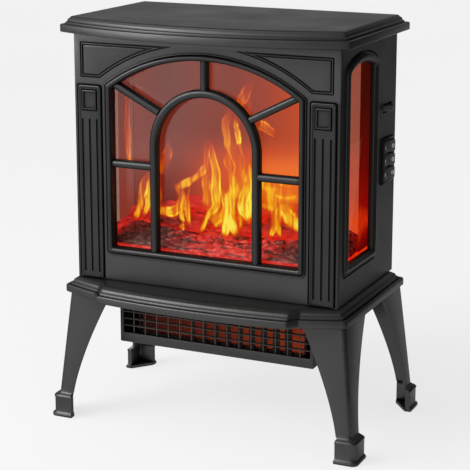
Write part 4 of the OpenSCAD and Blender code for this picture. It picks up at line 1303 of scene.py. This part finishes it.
def build_bed():
    """Resin coals: rounded lumps with glowing cracks, and bark ridges along the front."""
    nx, ny = 230, 90
    xs = [bed_lo.x + (bed_hi.x - bed_lo.x) * i / nx for i in range(nx + 1)]
    ys = [bed_lo.y + (bed_hi.y - bed_lo.y) * j / ny for j in range(ny + 1)]
    verts, crack = [], []
    for y in ys:
        for x in xs:
            near, _ = noise.voronoi(Vector((x / 15, y / 11, 0.3)))
            gap = near[1] - near[0]
            lump = min(gap * 2.2, 1.0) ** 0.6
            front = max(0.0, 1 - (y - bed_lo.y) / 24)
            wave = noise.noise(Vector((x / 30, y / 9, 2.0)))
            ridge = abs(sin((y - bed_lo.y) * 0.62 + 2.6 * wave))
            rough = noise.noise(Vector((x / 4, y / 4, 5.0))) * 0.8
            height = (1 - front) * (lump * 5.0 - 2.5) + front * (ridge * 3.0 - 1.5) + rough
            drop = 3.0 * front**4
            edge = min(1.0, (x - bed_lo.x) / 4, (bed_hi.x - x) / 4, (bed_hi.y - y) / 4)
            verts.append((x, y, bed_height(x, y) + height * max(edge, 0.0) - drop))
            crack.append((1 - front) * (1 - lump) + front * (1 - ridge))
    faces = [(j * (nx + 1) + i, j * (nx + 1) + i + 1, (j + 1) * (nx + 1) + i + 1, (j + 1) * (nx + 1) + i)
             for j in range(ny) for i in range(nx)]
    shape = Shape()
    shape.add(verts, faces)
    lip = 6
    walls = []
    for k in range(lip + 1):
        drop = 46 * (k / lip) ** 1.6
        row = []
        for i, x in enumerate(xs):
            wobble = noise.noise(Vector((x / 22, k * 0.9, 8.0))) * (0.8 if 0 < k < lip else 0)
            row.append((x, bed_lo.y + abs(wobble), verts[i][2] - drop))
        walls.append(row)
    shape.loft(walls, closed=False)
    embers = ember_paint()
    shape.piece("ember_coals", embers, "ember_bed", sharp=70)
    shape = Shape()
    for side, x in ((-1, bed_lo.x), (1, bed_hi.x)):
        lo_x, hi_x = sorted((x - side * 0.3, x - side * 2.5))
        rows = [[(lo_x, y, bed_height(x, y) - 1.5), (hi_x, y, bed_height(x, y) - 1.5),
                 (hi_x, y, bed_lo.z + 4), (lo_x, y, bed_lo.z + 4)] for y in ys[::6]]
        shape.loft(rows, first=True, last=True)
    shape.piece("ember_sides", embers)
    shape = Shape()
    for side, x in ((-1, bed_lo.x), (1, bed_hi.x)):
        lo_x, hi_x = sorted((x, x - side * 3.2))
        rows = [[(lo_x, y, 232.5 + 0.6 * sin(y / 4)), (hi_x, y, 232.5 + 0.6 * sin(y / 4)),
                 (hi_x, y, 242.5 + 0.8 * sin(y / 5)), (lo_x, y, 242.5 + 0.8 * sin(y / 5))] for y in ys[::2]]
        shape.loft(rows, first=True, last=True)
    shape.piece("ember_edge", edge_paint())


def edge_paint():
    """Bare resin along the bed's sides, where the lamps below shine straight through."""
    paint = Paint("ember_edge")
    face = paint.shader(Base_Color=(0.3, 0.02, 0.01, 1.0), Roughness=0.4, Emission_Strength=2.4)
    uneven = paint.noise(60.0, 3.0)
    paint.link(paint.ramp(uneven, [(0.3, (0.7, 0.02, 0.006)), (0.7, (1.0, 0.09, 0.01))]),
               face.inputs["Emission Color"])
    return paint.mat


def ember_paint():
    """Bark and ash over a red glow: fine wavy dark seams, grey ash along the front and its corners."""
    paint = Paint("embers")
    face = paint.shader(Roughness=0.62, Specular_IOR_Level=0.3, Emission_Strength=0.86)
    coarse = paint.noise(26.0, 3.0, 0.55)
    fine = paint.noise(180.0, 4.0, 0.65, (0.6, 1, 1.6))
    layers = paint.noise(17.0, 3.0, 0.5, (0.45, 1.5, 1.5))
    wrapped = paint.math("FRACT", paint.math("MULTIPLY", layers, 9.0))
    seam = paint.remap(paint.math("ABSOLUTE", paint.math("SUBTRACT", wrapped, 0.5)), 0.06, 0.2, 0.0, 1.0)
    ash = paint.ramp(fine, [(0.34, (0.03, 0.014, 0.013)), (0.5, (0.12, 0.055, 0.05)),
                            (0.68, (0.4, 0.2, 0.19))])
    paint.link(ash, face.inputs["Base Color"])
    corner = paint.remap(paint.math("ABSOLUTE", paint.math("SUBTRACT", paint.axis("X"), 0.02)), 0.05, 0.11,
                         0.35, 1.0)
    reach = paint.math("SUBTRACT", paint.axis("Y"), paint.remap(corner, 0.35, 1.0, 0.0, 0.04))
    near = paint.remap(reach, -0.052, -0.018, 1.0, 0.0)
    inside = paint.remap(paint.math("ABSOLUTE", paint.axis("X")), 0.132, 0.152, 1.0, 0.0)
    cold = paint.math("MULTIPLY", paint.math("MULTIPLY", corner, near), inside)
    centre = paint.remap(paint.math("ABSOLUTE", paint.math("SUBTRACT", paint.axis("X"), 0.015)), 0.0, 0.11,
                         0.2, 0.08)
    heat = paint.math("ADD", paint.math("MULTIPLY", coarse, 0.7), paint.math("MULTIPLY", fine, 0.18))
    heat = paint.math("SUBTRACT", paint.math("ADD", heat, centre), paint.math("MULTIPLY", cold, 0.3))
    heat = paint.math("ADD", heat, paint.remap(seam, 0.0, 1.0, -0.24, 0.05))
    glow = paint.ramp(heat, [(0.28, (0.03, 0.002, 0.002)), (0.42, (0.2, 0.006, 0.005)),
                             (0.52, (0.52, 0.008, 0.005)), (0.66, (0.8, 0.012, 0.004)),
                             (0.8, (0.95, 0.04, 0.008))])
    foot = paint.math("MULTIPLY", paint.remap(paint.axis("Z"), 0.2405, 0.2435, 1.0, 0.0),
                      paint.remap(paint.axis("Y"), -0.062, -0.056, 1.0, 0.0))
    lamp = paint.ramp(fine, [(0.3, (0.6, 0.008, 0.004)), (0.7, (0.95, 0.03, 0.012))])
    paint.link(paint.mix(foot, glow, lamp), face.inputs["Emission Color"])
    low = paint.bump(seam, 0.0016, 0.6, None)
    paint.bump(fine, 0.0012, 0.7, face, low)
    return paint.mat


def log_paint():
    """Charred bark with long splits that glow red."""
    paint = Paint("log_bark")
    face = paint.shader(Roughness=0.7, Specular_IOR_Level=0.35, Emission_Strength=0.8)
    split = paint.noise(46.0, 4.0, 0.6, (0.28, 1, 1))
    fine = paint.noise(170.0, 3.0, 0.6, (0.4, 1, 1))
    paint.link(paint.ramp(fine, [(0.36, (0.01, 0.007, 0.007)), (0.6, (0.08, 0.04, 0.035)),
                                 (0.75, (0.2, 0.11, 0.1))]),
               face.inputs["Base Color"])
    heat = paint.math("ADD", paint.math("MULTIPLY", split, 0.8), paint.math("MULTIPLY", fine, 0.3))
    paint.link(paint.ramp(heat, [(0.38, (0.04, 0.001, 0.001)), (0.46, (0.45, 0.006, 0.003)),
                                 (0.6, (0.92, 0.02, 0.008)), (0.8, (1.0, 0.12, 0.02))]),
               face.inputs["Emission Color"])
    paint.bump(fine, 0.0012, 0.8, face)
    return paint.mat


def build_log(name, node, material, seed):
    """Bark cylinder along the CAD log's long line, with knots, splits and a stub."""
    lo, hi = box_mm(node)
    turn = {"log_left": -14.0, "log_right": 12.0, "log_back": 4.0}[node]
    radius = {"log_left": 12.0, "log_right": 12.0, "log_back": 13.0}[node]
    length = (hi.x - lo.x) / cos(radians(turn))
    mid = Vector(((lo.x + hi.x) / 2, (lo.y + hi.y) / 2, lo.z + radius))
    along = Vector((cos(radians(turn)), sin(radians(turn)), 0))
    across = Vector((-along.y, along.x, 0))
    steps, around = 70, 46
    rings = []
    for i in range(steps + 1):
        s = i / steps
        d = (s - 0.5) * length * 0.97
        taper = 1 - 0.16 * abs(2 * s - 1) ** 3
        cap = min(1.0, sqrt(max(0.0, 1 - (abs(2 * s - 1) ** 24))) + 0.05)
        ring = []
        for k in range(around):
            a = 2 * pi * k / around
            bark = noise.noise(Vector((d / 24, 2.6 * cos(a), 2.6 * sin(a) + seed)))
            grain = abs(noise.noise(Vector((d / 13, 7 * cos(a), 7 * sin(a) + seed))))
            r = radius * taper * cap * (0.93 + 0.10 * bark - 0.16 * (0.25 - min(grain, 0.25)) * 4 * 0.6)
            point = mid + along * d + across * (r * cos(a)) + Vector((0, 0, r * sin(a)))
            ring.append(tuple(point))
        rings.append(ring)
    shape = Shape()
    shape.loft(rings, first=True, last=True)
    stub_at = mid + along * (length * 0.18)
    lean = Vector((0.0, 0.55, 0.83))
    stub = []
    for i in range(9):
        d = radius * 0.5 + i * 1.9
        r = radius * (0.5 - 0.02 * i) if i < 8 else radius * 0.2
        u = along
        w = lean.cross(u).normalized()
        stub.append([tuple(stub_at + lean * d + u * (r * cos(t)) + w * (r * sin(t)))
                     for t in (2 * pi * k / 14 for k in range(14))])
    shape.loft(stub, first=True, last=True)
    shape.piece(name, material, node, sharp=70)


# ---- Controls ---------------------------------------------------------------

def build_bezel():
    """Raised frame round three rocker openings."""
    shape = Shape()
    x0, x1 = bezel_lo.x, bezel_hi.x
    y0, y1, z0, z1 = bezel_lo.y, bezel_hi.y, bezel_lo.z, bezel_hi.z
    mid_y, mid_z = (y0 + y1) / 2, (z0 + z1) / 2

    def outline(inset):
        return box_outline(y0 + inset, y1 - inset, z0 + inset, z1 - inset, max(2.2 - inset, 0.6))

    def opening(k, inset):
        z = mid_z + k * 18.0
        return box_outline(mid_y - 17.9 - inset, mid_y + 17.9 + inset, z - 7.6 - inset, z + 7.6 + inset, 0.7,
                           3)

    def at(loop, x):
        return [(x, y, z) for y, z in loop]

    shape.loft([at(outline(0), x0), at(outline(0), x1 - 1.0), at(outline(0.3), x1 - 0.3),
                at(outline(1.0), x1)])
    shape.fill(at(outline(1.0), x1), *[at(opening(k, 0.5), x1) for k in (-1, 0, 1)])
    shape.fill(at(outline(0), x0), *[at(opening(k, 0), x0) for k in (-1, 0, 1)])
    for k in (-1, 0, 1):
        shape.loft([at(opening(k, 0.5), x1), at(opening(k, 0.1), x1 - 0.4), at(opening(k, 0), x1 - 1.0),
                    at(opening(k, 0), x0)])
    shape.piece("bezel_frame", switch_black, "switch_bezel")


def build_rocker(node):
    """Shallow V rocker with softened edges and a moulded mark on each end."""
    lo, hi = box_mm(node)
    z = (lo.z + hi.z) / 2
    y = (bezel_lo.y + bezel_hi.y) / 2
    pivot = Vector((WALL_X - 4, y, z))
    tilt = radians(-8)
    turn = (cos(tilt), sin(tilt))
    profile = [(-2.0, -6.0), (3.0, -16.4), (7.4, -16.4), (8.4, -15.9), (8.55, -15.0), (7.9, -9.0),
               (6.8, -3.0), (6.4, 0.0), (6.8, 3.0), (7.9, 9.0), (8.55, 15.0), (8.4, 15.9), (7.4, 16.4),
               (3.0, 16.4), (-2.0, 6.0)]

    def place(px, py, pz):
        return (pivot.x + px * turn[0] - py * turn[1], pivot.y + px * turn[1] + py * turn[0], z + pz)

    shape = Shape()
    cx, cy = 3.4, 0.0
    rings = []
    for pz, shrink in ((-7.2, 0.6), (-6.9, 0.15), (-6.4, 0.0), (6.4, 0.0), (6.9, 0.15), (7.2, 0.6)):
        ring = []
        for px, py in profile:
            away = Vector((px - cx, py - cy))
            away -= away.normalized() * shrink
            ring.append(place(cx + away.x, cy + away.y, pz))
        rings.append(ring)
    shape.loft(rings, first=True, last=True)
    shape.turned([(1.5, -8.6), (1.5, 8.6)], (pivot.x, pivot.y, z), "z", 24)
    shape.piece(node + "_key", rocker_black, node, node, sharp=30)
    marks = Shape()
    ring_r, tube = 2.1, 0.38
    slope = atan2(8.55 - 6.8, 12.0)

    def on_key(py, pz, out):
        px = 6.8 + (abs(py) - 3.0) * tan(slope) + out
        return place(px, py, pz)

    rings = []
    for k in range(28):
        t = 2 * pi * k / 28
        section = []
        for j in range(6):
            s = 2 * pi * j / 6
            r = ring_r + tube * cos(s)
            section.append(on_key(10.5 + r * cos(t), r * sin(t), 0.18 + 0.3 * sin(s)))
        rings.append(section)
    marks.loft(rings + [rings[0]])
    dash = [on_key(-10.5 + a, b, c) for c in (-0.2, 0.42) for a, b in
            ((-0.4, -2.3), (0.4, -2.3), (0.4, 2.3), (-0.4, 2.3))]
    marks.add(dash, [(3, 2, 1, 0), (4, 5, 6, 7), (0, 1, 5, 4), (1, 2, 6, 5), (2, 3, 7, 6), (3, 0, 4, 7)])
    marks.piece(node + "_marks", mark_grey, body=node, sharp=40)


def build_thumbwheel():
    """Knurled wheel on its shaft."""
    x = (wheel_lo.x + wheel_hi.x) / 2
    y = (wheel_lo.y + wheel_hi.y) / 2
    top = wheel_hi.z
    radius = (wheel_hi.y - wheel_lo.y) / 2
    teeth = 36
    rings = []
    for z, r0 in ((top - 7, 0.9), (top - 6.5, 0.3), (top - 6.0, 0.0), (top - 1.0, 0.0), (top - 0.5, 0.3),
                  (top, 0.9)):
        ring = []
        for k in range(teeth * 6):
            t = 2 * pi * k / (teeth * 6)
            dent = 0.42 * max(0.0, cos(teeth * t)) ** 2
            r = radius - r0 - dent
            ring.append((x + r * cos(t), y + r * sin(t), z))
        rings.append(ring)
    shape = Shape()
    shape.loft(rings, first=True, last=True)
    shape.turned([(2.95, wheel_lo.z - top), (2.95, -6.9)], (x, y, top), "z", 32)
    shape.piece("thumbwheel", wheel_black, "dimmer_wheel", "dimmer_wheel", sharp=32)


def key_paint():
    """Rocker plastic, painted darker at its front end as shade and paler towards its back end as painted
    light; the back end is also glossier.
    """
    paint = Paint("rocker_black")
    face = paint.shader(Specular_IOR_Level=0.4)
    mid = (bezel_lo.y + bezel_hi.y) / 2 * MM
    # Painted shade and light: darker at the front end, paler towards the back end.
    painted_light_along = paint.remap(paint.axis("Y"), mid - 0.012, mid + 0.013, 0.0, 1.0)
    patchy = paint.math("ADD", painted_light_along, paint.wobble(0.06, 300.0, 2.0))
    paint.link(paint.ramp(patchy, [(0.1, (0.012, 0.012, 0.012)), (0.5, (0.04, 0.04, 0.041)),
                                   (1.0, (0.085, 0.085, 0.087))]),
               face.inputs["Base Color"])
    paint.link(paint.remap(painted_light_along, 0.0, 1.0, 0.5, 0.32), face.inputs["Roughness"])
    paint.bump(paint.noise(1500.0, 2.0), 0.00006, 0.4, face)
    return paint.mat


rocker_black = key_paint()
wheel_black = powder_coat("wheel_black", (0.035, 0.035, 0.036), (0.055, 0.055, 0.056), (0.3, 0.42), 1500.0,
                          0.5, 0.00006)
mark_grey = finish("mark_grey", (0.7, 0.7, 0.7), (0.85, 0.85, 0.85), (0.4, 0.5), 0.0, 500.0)


# ---- Carried-over CAD parts -------------------------------------------------

def dress(material, *nodes):
    """Gives CAD nodes a better material."""
    for node in nodes:
        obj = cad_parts[node]
        if not obj.material_slots:
            obj.data.materials.append(material)
        for held in obj.material_slots:
            held.material = material


def build_all():
    """Every piece, then new finishes for the CAD parts that stay."""
    build_slabs()
    build_front()
    build_window_frame()
    build_bars()
    build_glass()
    for side, name in SIDES:
        build_wall(side, name)
        build_side_frame(side, name)
    for sx, sy, name in ((-1, -1, "leg_front_left"), (1, -1, "leg_front_right"),
                         (-1, 1, "leg_back_left"), (1, 1, "leg_back_right")):
        build_leg(sx, sy, name)
    build_housing()
    build_grille()
    build_element()
    bark = log_paint()
    build_bed()
    for i, node in enumerate(("log_left", "log_right", "log_back")):
        build_log(node + "_bark", node, bark, 3.7 * i)
    picture_sheet("flame_backdrop", screen_lo, screen_hi, screen_lo.y, screen_hi.y, 3.0, screen_field,
                  screen_paint(), "flame_screen")
    picture_sheet("flame_sheet", film_lo, film_hi, film_lo.y, film_hi.y, 1.25,
                  lambda x, z, border: border * tongue_field(x, z, TONGUES, 21), film_paint(),
                  "flame_film")
    build_bezel()
    for node in ("rocker_flame", "rocker_low_heat", "rocker_high_heat"):
        build_rocker(node)
    build_thumbwheel()
    dress(sheet_black, "back_panel", "base_pan")
    dress(zinc, "top_plate", "glass_clips", "spindle_bracket", "blower_scroll", "back_screws", "top_screws",
          "leg_screws", "heater_screws")
    dress(rubber, "foot_pads", "cord_gland")
    dress(flat_black, "firebox_ceiling")
    dress(board, "ember_led_board", "flame_led_board", "control_board")
    dress(foil, "flame_spindle")
    dress(motor_steel, "spindle_motor", "blower_motor")
    dress(alloy, "blower_wheel")
    dress(cream, "switch_bodies", "terminal_block", "thermal_cutout")
    dress(blue, "dimmer_body")
    dress(sleeve, "wiring_loom")


build_all()
